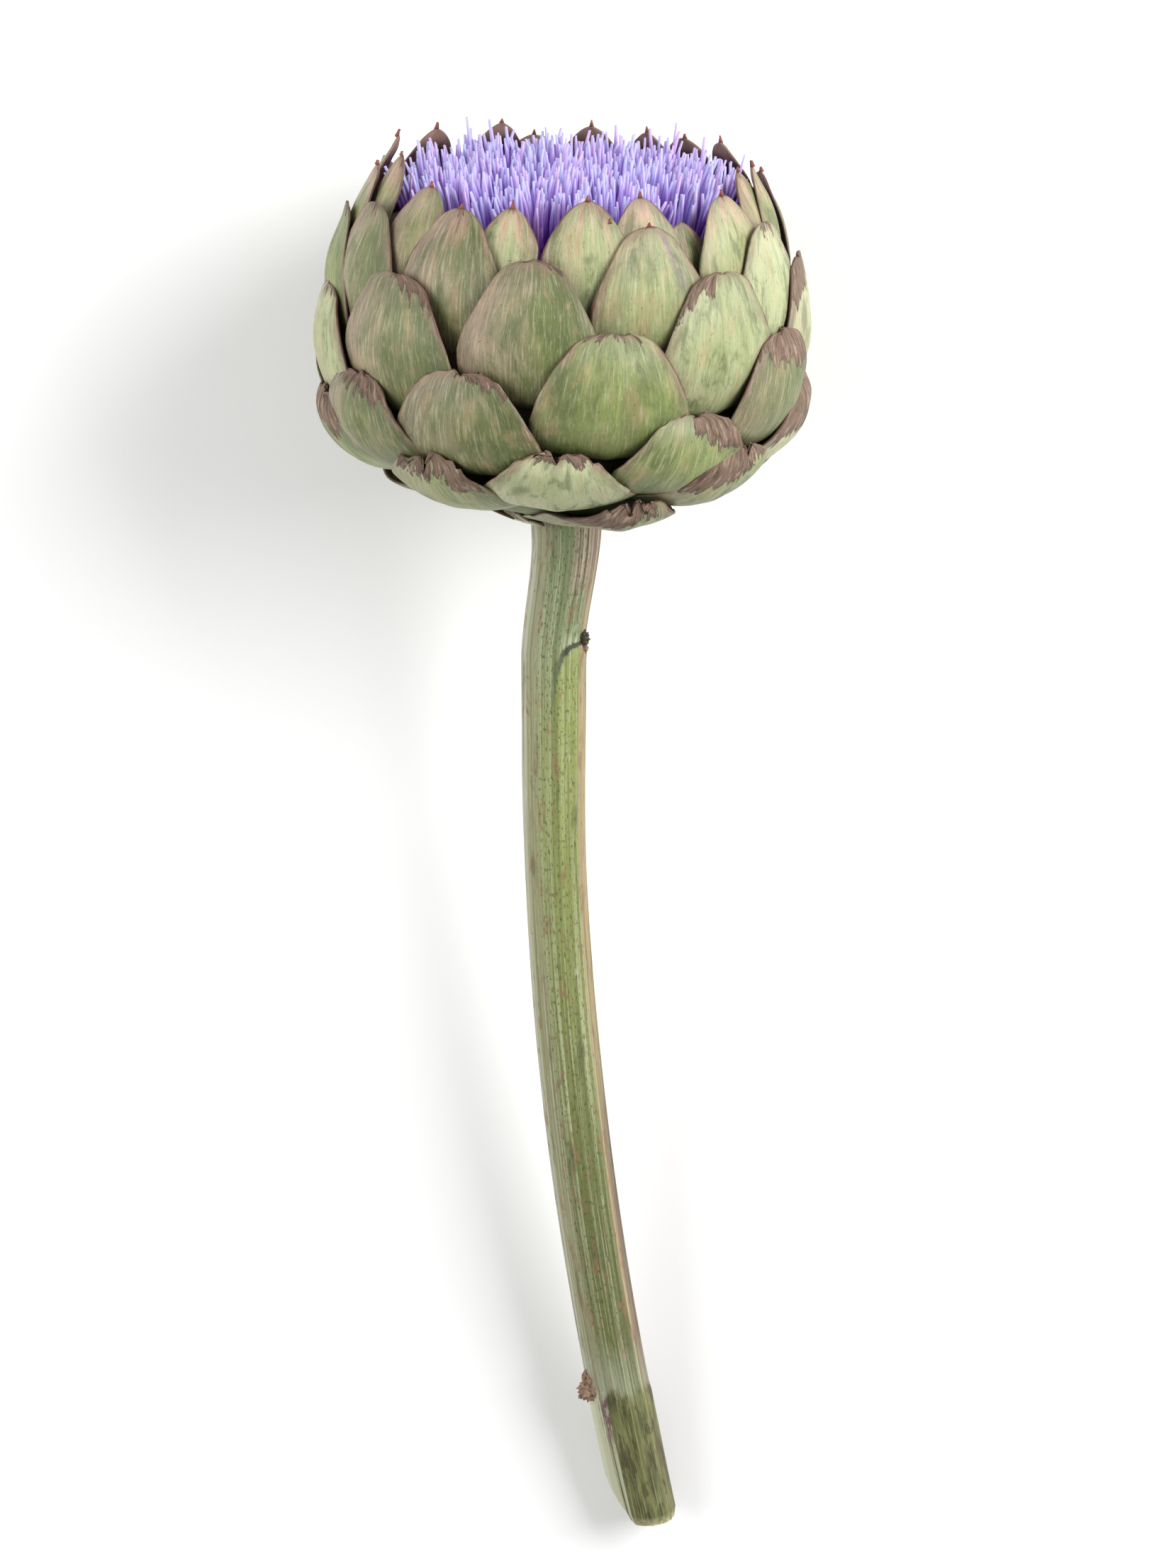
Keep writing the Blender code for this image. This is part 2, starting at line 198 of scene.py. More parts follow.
class Paint:
    def __init__(self, name, roughness):
        self.material = bpy.data.materials.new(name)
        self.material.use_nodes = True
        self.nodes = self.material.node_tree.nodes
        self.links = self.material.node_tree.links
        self.shader = self.nodes["Principled BSDF"]
        self.shader.inputs["Roughness"].default_value = roughness

    def plug(self, socket, value):
        if isinstance(value, bpy.types.NodeSocket):
            self.links.new(value, socket)
        else:
            socket.default_value = value

    def value(self, name):
        node = self.nodes.new("ShaderNodeAttribute")
        node.attribute_name = name
        return node.outputs["Fac"]

    def fibreMap(self):
        node = self.nodes.new("ShaderNodeUVMap")
        node.uv_map = "fibre"
        return node.outputs["UV"]

    def objectPlace(self):
        return self.nodes.new("ShaderNodeTexCoord").outputs["Object"]

    def shifted(self, vector, amount):
        # every bract reads its own part of the pattern
        spread = self.nodes.new("ShaderNodeCombineXYZ")
        for axis, reach in patternShift.items():
            self.plug(spread.inputs[axis], self.times(amount, reach))
        add = self.nodes.new("ShaderNodeVectorMath")
        add.operation = "ADD"
        self.plug(add.inputs[0], vector)
        self.plug(add.inputs[1], spread.outputs["Vector"])
        return add.outputs["Vector"]

    def combined(self, operation, first, second):
        node = self.nodes.new("ShaderNodeMath")
        node.operation = operation
        self.plug(node.inputs[0], first)
        self.plug(node.inputs[1], second)
        return node.outputs["Value"]

    def sum(self, first, second):
        return self.combined("ADD", first, second)

    def less(self, first, second):
        return self.combined("SUBTRACT", first, second)

    def times(self, first, second):
        return self.combined("MULTIPLY", first, second)

    def both(self, first, second):
        # where two patterns meet, each with the numbers that between takes
        return self.times(self.between(*first), self.between(*second))

    def swing(self, pattern, amount):
        # a noise pattern's swing to both sides of its middle
        return self.times(self.sum(pattern, -0.5), amount)

    def stretched(self, vector, scale):
        node = self.nodes.new("ShaderNodeMapping")
        self.plug(node.inputs["Vector"], vector)
        node.inputs["Scale"].default_value = scale
        return node.outputs["Vector"]

    def noise(self, vector, scale, detail=3.0, roughness=0.5, distortion=0.0):
        node = self.nodes.new("ShaderNodeTexNoise")
        self.plug(node.inputs["Vector"], self.stretched(vector, scale))
        node.inputs["Scale"].default_value = 1.0
        node.inputs["Detail"].default_value = detail
        node.inputs["Roughness"].default_value = roughness
        node.inputs["Distortion"].default_value = distortion
        return node.outputs["Fac"]

    def between(self, value, low, high, bottom=0.0, top=1.0):
        node = self.nodes.new("ShaderNodeMapRange")
        node.interpolation_type = "SMOOTHSTEP"
        self.plug(node.inputs["Value"], value)
        for name, number in (("From Min", low), ("From Max", high), ("To Min", bottom), ("To Max", top)):
            node.inputs[name].default_value = number
        return node.outputs["Result"]

    def mix(self, factor, first, second):
        node = self.nodes.new("ShaderNodeMix")
        node.data_type = "RGBA"
        node.clamp_factor = True
        self.plug(node.inputs["Factor"], factor)
        self.plug(node.inputs["A"], first)
        self.plug(node.inputs["B"], second)
        return node.outputs["Result"]

    def over(self, base, colour, value, low, high, bottom=0.0, top=1.0):
        # a layer of colour on the base, from its bottom share at low to its top share at high
        return self.mix(self.between(value, low, high, bottom, top), base, colour)

    def layers(self, base, colours, rows):
        # a row is a colour's name, its pattern and the numbers that over takes
        for name, value, *numbers in rows:
            base = self.over(base, colours[name], value, *numbers)
        return base

    def cover(self, colour):
        self.plug(self.shader.inputs["Base Color"], colour)

    def bump(self, height, strength, distance):
        node = self.nodes.new("ShaderNodeBump")
        node.inputs["Strength"].default_value = strength
        node.inputs["Distance"].default_value = distance
        self.plug(node.inputs["Height"], height)
        self.plug(self.shader.inputs["Normal"], node.outputs["Normal"])


def grainMaterial(name, roughness, scale, dark, light):
    paint = Paint(name, roughness)
    grain = paint.noise(paint.objectPlace(), scale)
    paint.cover(paint.mix(grain, dark, light))
    return paint.material


# bracts: scales on a golden angle spiral from the stem to the flower

bractRule = {
    "count": 58,
    "goldenAngle": math.radians(137.508),
    "firstAngle": math.radians(293.0),
    "lowestTip": 0.012,
    "highestTip": 0.1015,
    "climbPower": 1.15,
    "spiralTop": 50,
    "length": 0.042,
    "lowLengthening": 0.012,
    "stemClearance": 0.010,
    "backDip": 0.003,
    "lowStandOff": 0.0030,
    "rootBow": 9.0,
    "rootBackFrom": 0.018,
    "rootBackOver": 0.020,
    "cupping": 8.3,
    "lowCupping": 1.4,
    "spinesFrom": 36,
}

# how a measure changes along the spiral: its start, the change, the first bract and how many it takes
spiralRule = {
    "broadening": (0.036, 0.010, 0, 12),
    "narrowing": (0, -0.030, 22, 35),
    "bulge": (0.012, -0.005, 26, 14),
    "bow": (14.0, -32.0, 16, 18),
    "stepIn": (0, 0.0025, 34, 26),
    "cap": (0.38, -0.16, 20, 28),
    "shoulder": (2.0, -0.6, 22, 8),
    "low": (1, -1, 0, 16),
    "upper": (0, 1, 26, 14),
    "outer": (1, -1, 0, 26),
    "rootBack": (1, -1, 1, 6),
    "drying": (1, -1, 8, 20),
    "notching": (1, -1, 6, 16),
    "rose": (0, 1, 30, 14),
}

# the shape of one blade: lengths in metres, pitches in ripples a metre
blade = {
    "columns": 28,
    "rows": 28,
    "rowCrowding": 1.8,
    # how far the fibres follow the edges and how far they run straight
    "fibresFollow": 0.55,
    "fibresStraight": 0.45,
    "wall": 0.0016,
    "edgeThickness": 0.35,
    "thickening": 0.2,
    "widestByWidth": 0.62,
    "widestByLength": 0.7,
    "capReach": 0.0035,
    "narrowest": 0.03,
    "rootTaper": 0.15,
    "tipReach": 0.006,
    "tipHook": 0.0022,
    "notchSpread": 0.0011,
    "jag": 0.0003,
    "outerJag": 0.0014,
    "jagPitch": 420,
    "ragged": 0.006,
    "outerRagged": 0.03,
    "raggedPitch": 350,
    "wave": 0.0007,
    "wavePitch": (90, 60),
    "crumple": 0.0010,
    "crumplePitch": (260, 90),
    "midrib": 0.00035,
    "midribSpread": 0.0022,
}

# bracts that stand off the spiral: degrees round the head, and metres up it
offRule = {
    0: (-32, -0.001), 2: (4, -0.0005), 5: (2, 0.0035), 7: (-2, 0.0025), 8: (8.5, 0.007),
    10: (2, -0.005), 12: (-5, 0.0025), 13: (-2.5, 0.004), 15: (3.5, -0.0075), 18: (0, -0.0035),
    19: (-5, -0.003), 20: (1, -0.0005), 21: (-4.5, 0.0035), 23: (3.5, -0.0015), 25: (-11, 0.003),
    26: (-3, 0.0005), 28: (-1, -0.001), 29: (9, 0.0045), 31: (0, -0.001), 33: (-12.5, 0.0005),
    34: (1, 0.0005), 36: (-1, -0.001), 39: (-2, -0.001), 41: (-2.5, -0.001), 42: (-0.5, -0.002),
    44: (3, -0.002), 46: (-6.5, 0), 47: (6.5, -0.004), 49: (-12, -0.002), 52: (1.5, -0.007),
    57: (-2, -0.009),
}

# what age has done to a bract, and its tone: millimetres dried brown below its tip, millimetres of notch in
# its tip, how much further it dried for each millimetre to the right, how pale or dark it is and how mauve;
# the paleness is partly its own tone and partly painted light and shade, darker on bracts on the left of the
# head and lighter on those on the right
ageAndPaintedLight = {
    0: (8, 2, 0.2, 0, 0.5), 2: (7, 4, -0.5, 0.2, 0.4), 5: (6, 3, 0.25, 0.2, 0.4),
    7: (8, 1, -0.3, 0.1, 0.4), 8: (11, 1, 0, 0, 0.6), 10: (2.5, 3, 0.1, 0.5, 0.1),
    12: (16, 2, 0, 0.8, 0.4), 13: (4, 1, 0.3, -1.1, 0.7), 15: (4, 1, 0.55, -0.1, 0.1),
    18: (1.5, 1.5, 0.15, -1.15, 0.6), 20: (9, 1, 0.2, -0.9, 0.3), 21: (2, 1, 0, 0.45, 0.9),
    23: (0.5, 0.5, 0.1, 0, 0.1), 25: (10, 1, 0, 0.85, 0.55), 26: (2, 0.5, 0.3, -0.85, 0.9),
    28: (1, 0.5, -0.4, 0.35, 0.1), 29: (2, 0, 0, 0, 1), 31: (0.5, 0.5, 0.1, -0.75, 0.9),
    33: (0, 0, 0, 0.5, 0.1), 34: (1, 0, 0, -0.75, 1), 36: (-1, 0, 0, 0.2, 0.2),
    39: (-1, 0, 0, -0.95, 1), 41: (-1, 0, 0, 0.35, 0.1), 42: (0, 0, 0, 0, 1), 44: (-1, 0, 0, 0.3, 0.4),
    47: (0, 0, 0.2, 0, 1), 49: (-1, 0, 0, 0.25, 0.8), 52: (-1, 0, 0, 0.4, 0.2),
}

# bracts with a purple streak, how far across each it runs, and where it fades in and out
purple = {"streaks": {12: 0.3, 36: 0.58}, "spread": 0.09, "fadeIn": 0.004, "fadeOut": 0.026}

# small bracts at the foot: degrees round the head, how far along the outline they reach, width,
# and what age has done to them and their tone, as above
footRule = {
    "bracts": (
        (-60, 0.0215, 0.025, 3, 5, 0, 0.6, 0.2),
        (78, 0.0225, 0.022, 3, 2, 0, 0.5, 0.2),
        (190, 0.0225, 0.022, 4, 3, 0, 0.5, 0.2),
    ),
    "standOff": 0.0018,
}

# slender bracts that close the ring round the flower
innerRule = {
    "first": 60,
    "count": 20,
    "tipHeight": 0.0930,
    "length": 0.022,
    "stepIn": 0.0058,
    "pallor": -0.5,
    "mauve": 0.8,
}

# the short dry point that ends an upper bract
spineRule = {"shortest": 0.0014, "longest": 0.0028, "radius": 0.0008, "point": 0.00015, "curl": 0.0009}


def alongSpiral(name, index):
    start, change, first, span = spiralRule[name]
    return start + change * smooth((index - first) / span)


class Bract:
    def __init__(self, index):
        chance = random.Random(100 + index)
        turn, rise = offRule.get(index, (0, 0))
        climb = math.sin(math.pi / 2 * min(1.0, index / bractRule["spiralTop"])) ** bractRule["climbPower"]
        tipHeight = bractRule["lowestTip"] + (bractRule["highestTip"] - bractRule["lowestTip"]) * climb
        tipHeight += chance.uniform(-0.0012, 0.0012) + rise
        self.index = index
        self.angle = bractRule["firstAngle"] - bractRule["goldenAngle"] * index
        self.angle += math.radians(chance.uniform(-2.5, 2.5) + turn)
        tipHeight -= bractRule["backDip"] * alongSpiral("upper", index) * smooth(-math.cos(self.angle))
        self.tip = distanceToHeight(tipHeight)
        self.width = alongSpiral("broadening", index) + alongSpiral("narrowing", index)
        for name in ("bulge", "bow", "stepIn", "cap", "shoulder", "outer", "rootBack", "rose"):
            setattr(self, name, alongSpiral(name, index))
        low = alongSpiral("low", index)
        self.standOff = bractRule["lowStandOff"] * low
        self.curl = bractRule["cupping"] * (1 + bractRule["lowCupping"] * low)
        self.fitLength(bractRule["length"] + bractRule["lowLengthening"] * low)
        dry = chance.uniform(3, 11) * alongSpiral("drying", index) + chance.uniform(-1.0, 1.5)
        notch = chance.uniform(0, 4) * alongSpiral("notching", index)
        fresh = (dry, notch, chance.uniform(-0.3, 0.3), chance.uniform(-0.2, 0.2), chance.uniform(0.1, 0.7))
        self.dryDepth, self.notch, self.dryLean, self.pallor, self.mauve = ageAndPaintedLight.get(index, fresh)
        self.notchAside = chance.uniform(-0.002, 0.002)
        self.seed = chance.random()
        # short tears in an old tip: where, how deep and how wide
        self.tears = [(chance.uniform(-0.010, 0.010), chance.uniform(0.0004, 0.0022) * self.outer,
                       chance.uniform(0.0004, 0.0009)) for _ in range(5)]

    def fitLength(self, longest):
        self.length = min(longest, self.tip - bractRule["stemClearance"])
        self.widest = min(blade["widestByWidth"] * self.width, blade["widestByLength"] * self.length)

    def marks(self):
        return [(name, getattr(self, name)) for name in ("seed", "outer", "pallor", "mauve", "rose")]

    def halfWidth(self, belowTip):
        # a rounded cap, then shoulders that widen to the broadest line
        if belowTip < self.widest:
            capped = math.sqrt(1 - (1 - min(1.0, belowTip / blade["capReach"])) ** 2)
            rest = 1 - (1 - belowTip / self.widest) ** self.shoulder
            return self.width / 2 * max(blade["narrowest"], self.cap * capped + (1 - self.cap) * rest)
        share = (belowTip - self.widest) / (self.length - self.widest)
        return self.width / 2 * (1 - blade["rootTaper"] * share * share)

    def ripple(self, x, y, z=0.0):
        return noise.noise(Vector((x + self.index * 7.3, y + self.index * 3.1, z)))

    def point(self, across, belowTip):
        # across runs from -1 to 1; gives the point and its (across, down) place in millimetres
        sideways = across * self.halfWidth(belowTip)
        # wear at the tip: a notch, jags and tears
        fade = math.exp(-belowTip / blade["tipReach"])
        notched = math.exp(-((sideways - self.notchAside) / blade["notchSpread"]) ** 2)
        down = belowTip + self.notch * 0.001 * notched * fade
        jag = blade["jag"] + blade["outerJag"] * self.outer
        down += jag * self.ripple(sideways * blade["jagPitch"], 0.0) * fade
        for where, depth, spread in self.tears:
            down += depth * math.exp(-((sideways - where) / spread) ** 2) * fade
        ragged = blade["ragged"] + blade["outerRagged"] * self.outer
        edge = self.ripple(belowTip * blade["raggedPitch"], 9.0 if across > 0 else -9.0)
        sideways *= 1 - ragged * edge * across ** 6
        place = (sideways * 1000, down * 1000)
        # how far the blade sinks below the head's outline
        middle, normal = onOutline(self.tip - down)
        bow = self.bow if down < self.bulge else bractRule["rootBow"]
        sink = self.stepIn + bow * (down - self.bulge) ** 2
        sink *= 1 - self.rootBack * smooth((down - bractRule["rootBackFrom"]) / bractRule["rootBackOver"])
        sink -= self.standOff * (1 - down / self.length)
        sink += blade["tipHook"] * self.outer * smooth(1 - down / blade["tipReach"])
        aside, along = blade["wavePitch"]
        sink += blade["wave"] * self.ripple(sideways * aside, down * along, 5.0)
        aside, along = blade["crumplePitch"]
        sink += blade["crumple"] * self.outer * self.ripple(sideways * aside, down * along, 8.0) * fade
        sink -= blade["midrib"] * math.exp(-(sideways / blade["midribSpread"]) ** 2) * (1 - fade)
        middle = middle - normal * sink
        middle.y -= footDrop(middle.x)
        bend = normal.x / max(middle.x, 0.01) + self.curl
        drop = (1 - math.cos(bend * sideways)) / bend
        sideways = math.sin(bend * sideways) / bend
        radius = middle.x - normal.x * drop
        height = middle.y - normal.y * drop
        return Matrix.Rotation(self.angle, 3, "Z") @ Vector((sideways, -radius, height)), place


def footBract(number):
    # one of the lowest, made smaller and set where the head meets the stem
    bract = Bract(number)
    foot = footRule["bracts"][number]
    bract.angle, bract.tip, bract.width = math.radians(foot[0]), foot[1], foot[2]
    bract.dryDepth, bract.notch, bract.dryLean, bract.pallor, bract.mauve = foot[3:]
    bract.rootBack = 0
    bract.standOff = footRule["standOff"]
    bract.fitLength(bractRule["length"])
    return bract


def innerBract(number):
    bract = Bract(innerRule["first"] + number)
    chance = random.Random(800 + number)
    bract.angle = math.radians(360 * (number + chance.uniform(-0.2, 0.2)) / innerRule["count"])
    bract.tip = distanceToHeight(innerRule["tipHeight"] + chance.uniform(-0.0015, 0.0010))
    bract.stepIn = innerRule["stepIn"] + chance.uniform(-0.0008, 0.0008)
    bract.pallor, bract.mauve = innerRule["pallor"], innerRule["mauve"]
    bract.fitLength(innerRule["length"])
    return bract


def makeBract(bract):
    deselectAll()
    bpy.ops.mesh.primitive_grid_add(x_subdivisions=blade["columns"], y_subdivisions=blade["rows"], size=2)
    sheet = bpy.context.object
    places, rims, sides, purples = [], [], [], []
    thick = sheet.vertex_groups.new(name="thick")
    for vert in sheet.data.vertices:
        across, belowTip = vert.co.x, bract.length * (0.5 - vert.co.y / 2) ** blade["rowCrowding"]
        point, place = bract.point(across, belowTip)
        rim = min((1 - abs(across)) * bract.halfWidth(belowTip), belowTip) * 1000
        vert.co = layHead(point)
        # fibres gather towards the tip
        gathered = blade["fibresFollow"] * across * bract.width * 500 + blade["fibresStraight"] * place[0]
        places.append((gathered, place[1]))
        rims.append(rim)
        sides.append(across)
        offStreak = (across - purple["streaks"].get(bract.index, 9)) / purple["spread"]
        fade = 1 - smooth(belowTip / purple["fadeOut"])
        purples.append(math.exp(-offStreak * offStreak) * smooth(belowTip / purple["fadeIn"]) * fade)
        thick.add([vert.index], min(1.0, blade["edgeThickness"] + blade["thickening"] * rim), "REPLACE")
    wall = sheet.modifiers.new("wall", "SOLIDIFY")
    wall.thickness = blade["wall"]
    wall.offset = -1
    wall.vertex_group = "thick"
    applyAll(sheet)
    sheet.vertex_groups.clear()
    count = len(places)
    total = len(sheet.data.vertices)
    twice = [number % count for number in range(total)]
    dried = [bract.dryDepth - places[number][1] + bract.dryLean * places[number][0] for number in twice]
    setValues(sheet, {
        "rim": [rims[number] for number in twice],
        "side": [sides[number] for number in twice],
        "dried": dried,
        "purple": [purples[number] for number in twice],
        "inside": [0.0 if number < count else 1.0 for number in range(total)],
    })
    setValues(sheet, {name: [number] * total for name, number in bract.marks()})
    setFibreMap(sheet, [places[number] for number in twice])
    bpy.ops.object.shade_smooth()
    return sheet


def makeSpine(index):
    bract = Bract(index)
    chance = random.Random(300 + index)
    tip = bract.point(0.0, 0.0)[0]
    below = bract.point(0.0, 0.004)[0]
    line = (tip - below).normalized()
    length = chance.uniform(spineRule["shortest"], spineRule["longest"])
    deselectAll()
    radius, point = spineRule["radius"], spineRule["point"]
    bpy.ops.mesh.primitive_cone_add(vertices=8, radius1=radius, radius2=point, depth=length)
    spine = bpy.context.object
    turn = line.to_track_quat("Z", "Y").to_matrix()
    outward = Vector((tip.x, tip.y, 0)).normalized()
    for vert in spine.data.vertices:
        bent = turn @ vert.co + tip + line * length * 0.3
        share = vert.co.z / length + 0.5
        vert.co = layHead(bent + outward * spineRule["curl"] * share * share * chance.uniform(0.2, 1.0))
    count = len(spine.data.vertices)
    plain = [("rim", -1.0), ("dried", -9.0), ("inside", 0.0), ("side", 0.0), ("purple", 0.0)]
    setValues(spine, {name: [number] * count for name, number in plain + bract.marks()})
    setFibreMap(spine, [(0.0, number * 0.1) for number in range(count)])
    bpy.ops.object.shade_smooth()
    return spine


bractColours = {
    "green": srgb(130, 146, 84),
    "deep": srgb(82, 92, 50),
    "lime": srgb(160, 168, 94),
    "sage": srgb(162, 168, 128),
    "pale": srgb(204, 208, 168),
    "straw": srgb(194, 176, 136),
    "mauve": srgb(162, 138, 122),
    "rose": srgb(204, 146, 140),
    "bloom": srgb(168, 178, 146),
    "brown": srgb(90, 69, 58),
    "brownLight": srgb(138, 112, 94),
    "brownDark": srgb(62, 46, 38),
    "rim": srgb(98, 62, 50),
    "rust": srgb(156, 84, 68),
    "violet": srgb(128, 90, 122),
    "husk": srgb(176, 156, 136),
    "tan": srgb(176, 144, 112),
    "paintedEdgeShade": srgb(98, 90, 58),
    "maroon": srgb(64, 34, 42),
    "insideOlive": srgb(62, 60, 36),
    "insideTip": srgb(124, 98, 84),
}


def bractMaterial(name):
    colour = bractColours
    paint = Paint(name, 0.55)
    place = paint.shifted(paint.fibreMap(), paint.value("seed"))
    split = paint.nodes.new("ShaderNodeSeparateXYZ")
    paint.plug(split.inputs["Vector"], paint.fibreMap())
    down = split.outputs["Y"]
    rim = paint.value("rim")
    outer = paint.value("outer")
    hair = paint.noise(place, (3.0, 0.34, 1.0), detail=4.0, roughness=0.65)
    strand = paint.noise(place, (1.2, 0.11, 1.0), detail=4.0, roughness=0.6)
    streak = paint.noise(place, (0.40, 0.045, 1.0), detail=3.0)
    cloud = paint.noise(place, (0.07, 0.05, 1.0), detail=3.0, distortion=0.8)
    patch = paint.noise(place, (0.13, 0.07, 3.0), detail=5.0, roughness=0.62, distortion=0.5)
    specks = paint.noise(place, (1.5, 0.70, 1.0), detail=3.0)
    where = paint.noise(place, (0.17, 0.12, 9.0), detail=2.0)
    mottle = paint.noise(place, (0.55, 0.16, 5.0), detail=4.0, roughness=0.6, distortion=0.4)
    smudge = paint.noise(place, (0.17, 0.085, 6.0), detail=5.0, roughness=0.62, distortion=0.4)

    skin = paint.mix(paint.between(cloud, 0.30, 0.70, 0.15, 0.9), colour["deep"], colour["green"])
    skin = paint.layers(skin, colour, (
        ("lime", streak, 0.46, 0.72, 0.0, 0.40),
        ("sage", down, 1.0, 13.0, 0.55, 0.0),
    ))
    # towards the root: bloom on the outer bracts; on the upper ones a darker base, partly their own colour
    # and partly painted shade where the lower bracts overlap them
    rootward = paint.between(down, 16.0, 34.0)
    skin = paint.mix(paint.times(rootward, paint.times(outer, 0.8)), skin, colour["bloom"])
    skin = paint.mix(paint.times(rootward, paint.less(0.55, outer)), skin, colour["deep"])
    # how pale or dark the whole bract is: partly its own tone, partly painted light and shade
    pallor = paint.sum(paint.value("pallor"), paint.swing(patch, 0.45))
    skin = paint.layers(skin, colour, (
        ("pale", pallor, 0.0, 0.75, 0.0, 0.8),
        ("deep", pallor, 0.0, -1.0, 0.0, 0.95),
    ))
    # mauve grey over its left side, straw in patches, rose at the tips next to the flower
    leftward = paint.sum(paint.times(paint.value("side"), -0.26), paint.swing(cloud, 0.7))
    leftward = paint.sum(leftward, paint.swing(strand, 0.5))
    flush = paint.times(paint.between(leftward, -0.14, 0.34), paint.value("mauve"))
    skin = paint.mix(flush, skin, colour["mauve"])
    skin = paint.over(skin, colour["straw"], patch, 0.56, 0.70, 0.0, 0.24)
    blush = paint.both((down, 1.0, 13.0, 1.0, 0.15), (streak, 0.4, 0.6))
    skin = paint.mix(paint.times(blush, paint.times(paint.value("rose"), 0.85)), skin, colour["rose"])
    # a painted highlight down the middle and painted shade towards the edges, then smudges of tan and dark
    skin = paint.over(skin, colour["lime"], rim, 4.0, 12.0, 0.0, 0.14)
    shade = paint.sum(rim, paint.swing(smudge, 9.0))
    skin = paint.layers(skin, colour, (
        ("paintedEdgeShade", shade, 0.0, 6.0, 0.42, 0.0),
        ("tan", smudge, 0.53, 0.66, 0.0, 0.34),
        ("deep", smudge, 0.50, 0.34, 0.0, 0.62),
    ))
    # a warmer band along the edges
    band = paint.sum(rim, paint.swing(patch, 10.0))
    band = paint.both((band, 0.2, 3.8, 0.7, 0.0), (where, 0.42, 0.58, 0.1, 1.0))
    skin = paint.mix(band, skin, colour["brownLight"])
    purples = paint.times(paint.value("purple"), paint.between(streak, 0.35, 0.55, 0.3, 0.85))
    skin = paint.mix(purples, skin, colour["violet"])
    # fibres
    skin = paint.layers(skin, colour, (
        ("pale", strand, 0.50, 0.76, 0.0, 0.34),
        ("deep", strand, 0.48, 0.24, 0.0, 0.40),
        ("deep", hair, 0.46, 0.24, 0.0, 0.52),
        ("pale", hair, 0.54, 0.76, 0.0, 0.42),
        ("brown", specks, 0.64, 0.71, 0.0, 0.55),
    ))
    # dried brown down from the tip, ragged along the fibres, darkest where it ends
    ragged = paint.sum(paint.value("dried"), paint.swing(streak, 9.0))
    ragged = paint.sum(ragged, paint.swing(patch, 22.0))
    ragged = paint.sum(ragged, paint.swing(strand, 5.0))
    dry = paint.mix(paint.between(hair, 0.3, 0.7), colour["brown"], colour["brownLight"])
    dry = paint.layers(dry, colour, (
        ("husk", mottle, 0.54, 0.66, 0.0, 0.6),
        ("brownDark", mottle, 0.47, 0.36, 0.0, 0.8),
        ("brownDark", strand, 0.5, 0.3, 0.0, 0.5),
        ("brownDark", ragged, 1.6, 0.2, 0.0, 0.7),
    ))
    skin = paint.over(skin, dry, ragged, -0.3, 0.3, 0.0, 0.95)
    edge = paint.sum(rim, paint.swing(patch, 3.0))
    edge = paint.both((edge, 0.1, 0.6, 0.9, 0.0), (where, 0.38, 0.56, 0.15, 1.0))
    skin = paint.mix(edge, skin, colour["rim"])
    skin = paint.over(skin, paint.mix(hair, colour["rust"], colour["rim"]), rim, -0.1, -0.6)
    # the inner face: brown near the tip and darker deeper in, partly its own colour and partly painted shade
    # inside the overlap
    deepLiningAndShade = paint.mix(outer, colour["maroon"], colour["insideOlive"])
    lining = paint.mix(paint.between(down, 1.0, 7.0), colour["insideTip"], deepLiningAndShade)
    skin = paint.mix(paint.value("inside"), skin, lining)
    paint.cover(skin)
    paint.plug(paint.shader.inputs["Roughness"], paint.between(ragged, -0.5, 1.0, 0.5, 0.8))
    relief = paint.sum(paint.times(hair, 0.5), paint.times(strand, 0.8))
    paint.bump(relief, 0.5, 0.0003)
    return paint.material


# the bracts from and up to these numbers make one piece each
tiers = {"outer_bracts": (0, 21), "middle_bracts": (21, 41), "inner_bracts": (41, bractRule["count"])}


def makeHead():
    material = bractMaterial("bract_skin")
    for name, (first, beyond) in tiers.items():
        blades = [makeBract(Bract(index)) for index in range(first, beyond)]
        blades += [makeSpine(index) for index in range(first, beyond) if index >= bractRule["spinesFrom"]]
        if name == "outer_bracts":
            blades += [makeBract(footBract(number)) for number in range(len(footRule["bracts"]))]
        if name == "inner_bracts":
            blades += [makeBract(innerBract(number)) for number in range(innerRule["count"])]
        tier = joinPieces(blades, name)
        tier.data.materials.clear()
        tier.data.materials.append(material)
        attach(tier, "root")
        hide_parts("bract_head")
        print(name, len(tier.data.polygons), "faces")


makeHead()

# heart: the body under the bracts, seen only between them, where its dark colour is painted shade, and as
# flesh at the foot

heart = {
    "segments": 64,
    "rings": 32,
    "depth": 0.0095,
    "footDepth": 0.0022,
    "footStart": 0.020,
    "footEnd": 0.062,
    "top": 0.084,
    "cupFloor": 0.076,
    # shares of the sphere, from pole to pole, that become the shell and the cup
    "shell": 0.8,
    "cup": 0.2,
    # the dark pair is painted shade for the gaps between the bracts
    "dark": (srgb(62, 46, 36), srgb(90, 84, 54)),
    "flesh": (srgb(112, 120, 84), srgb(150, 158, 120)),
}


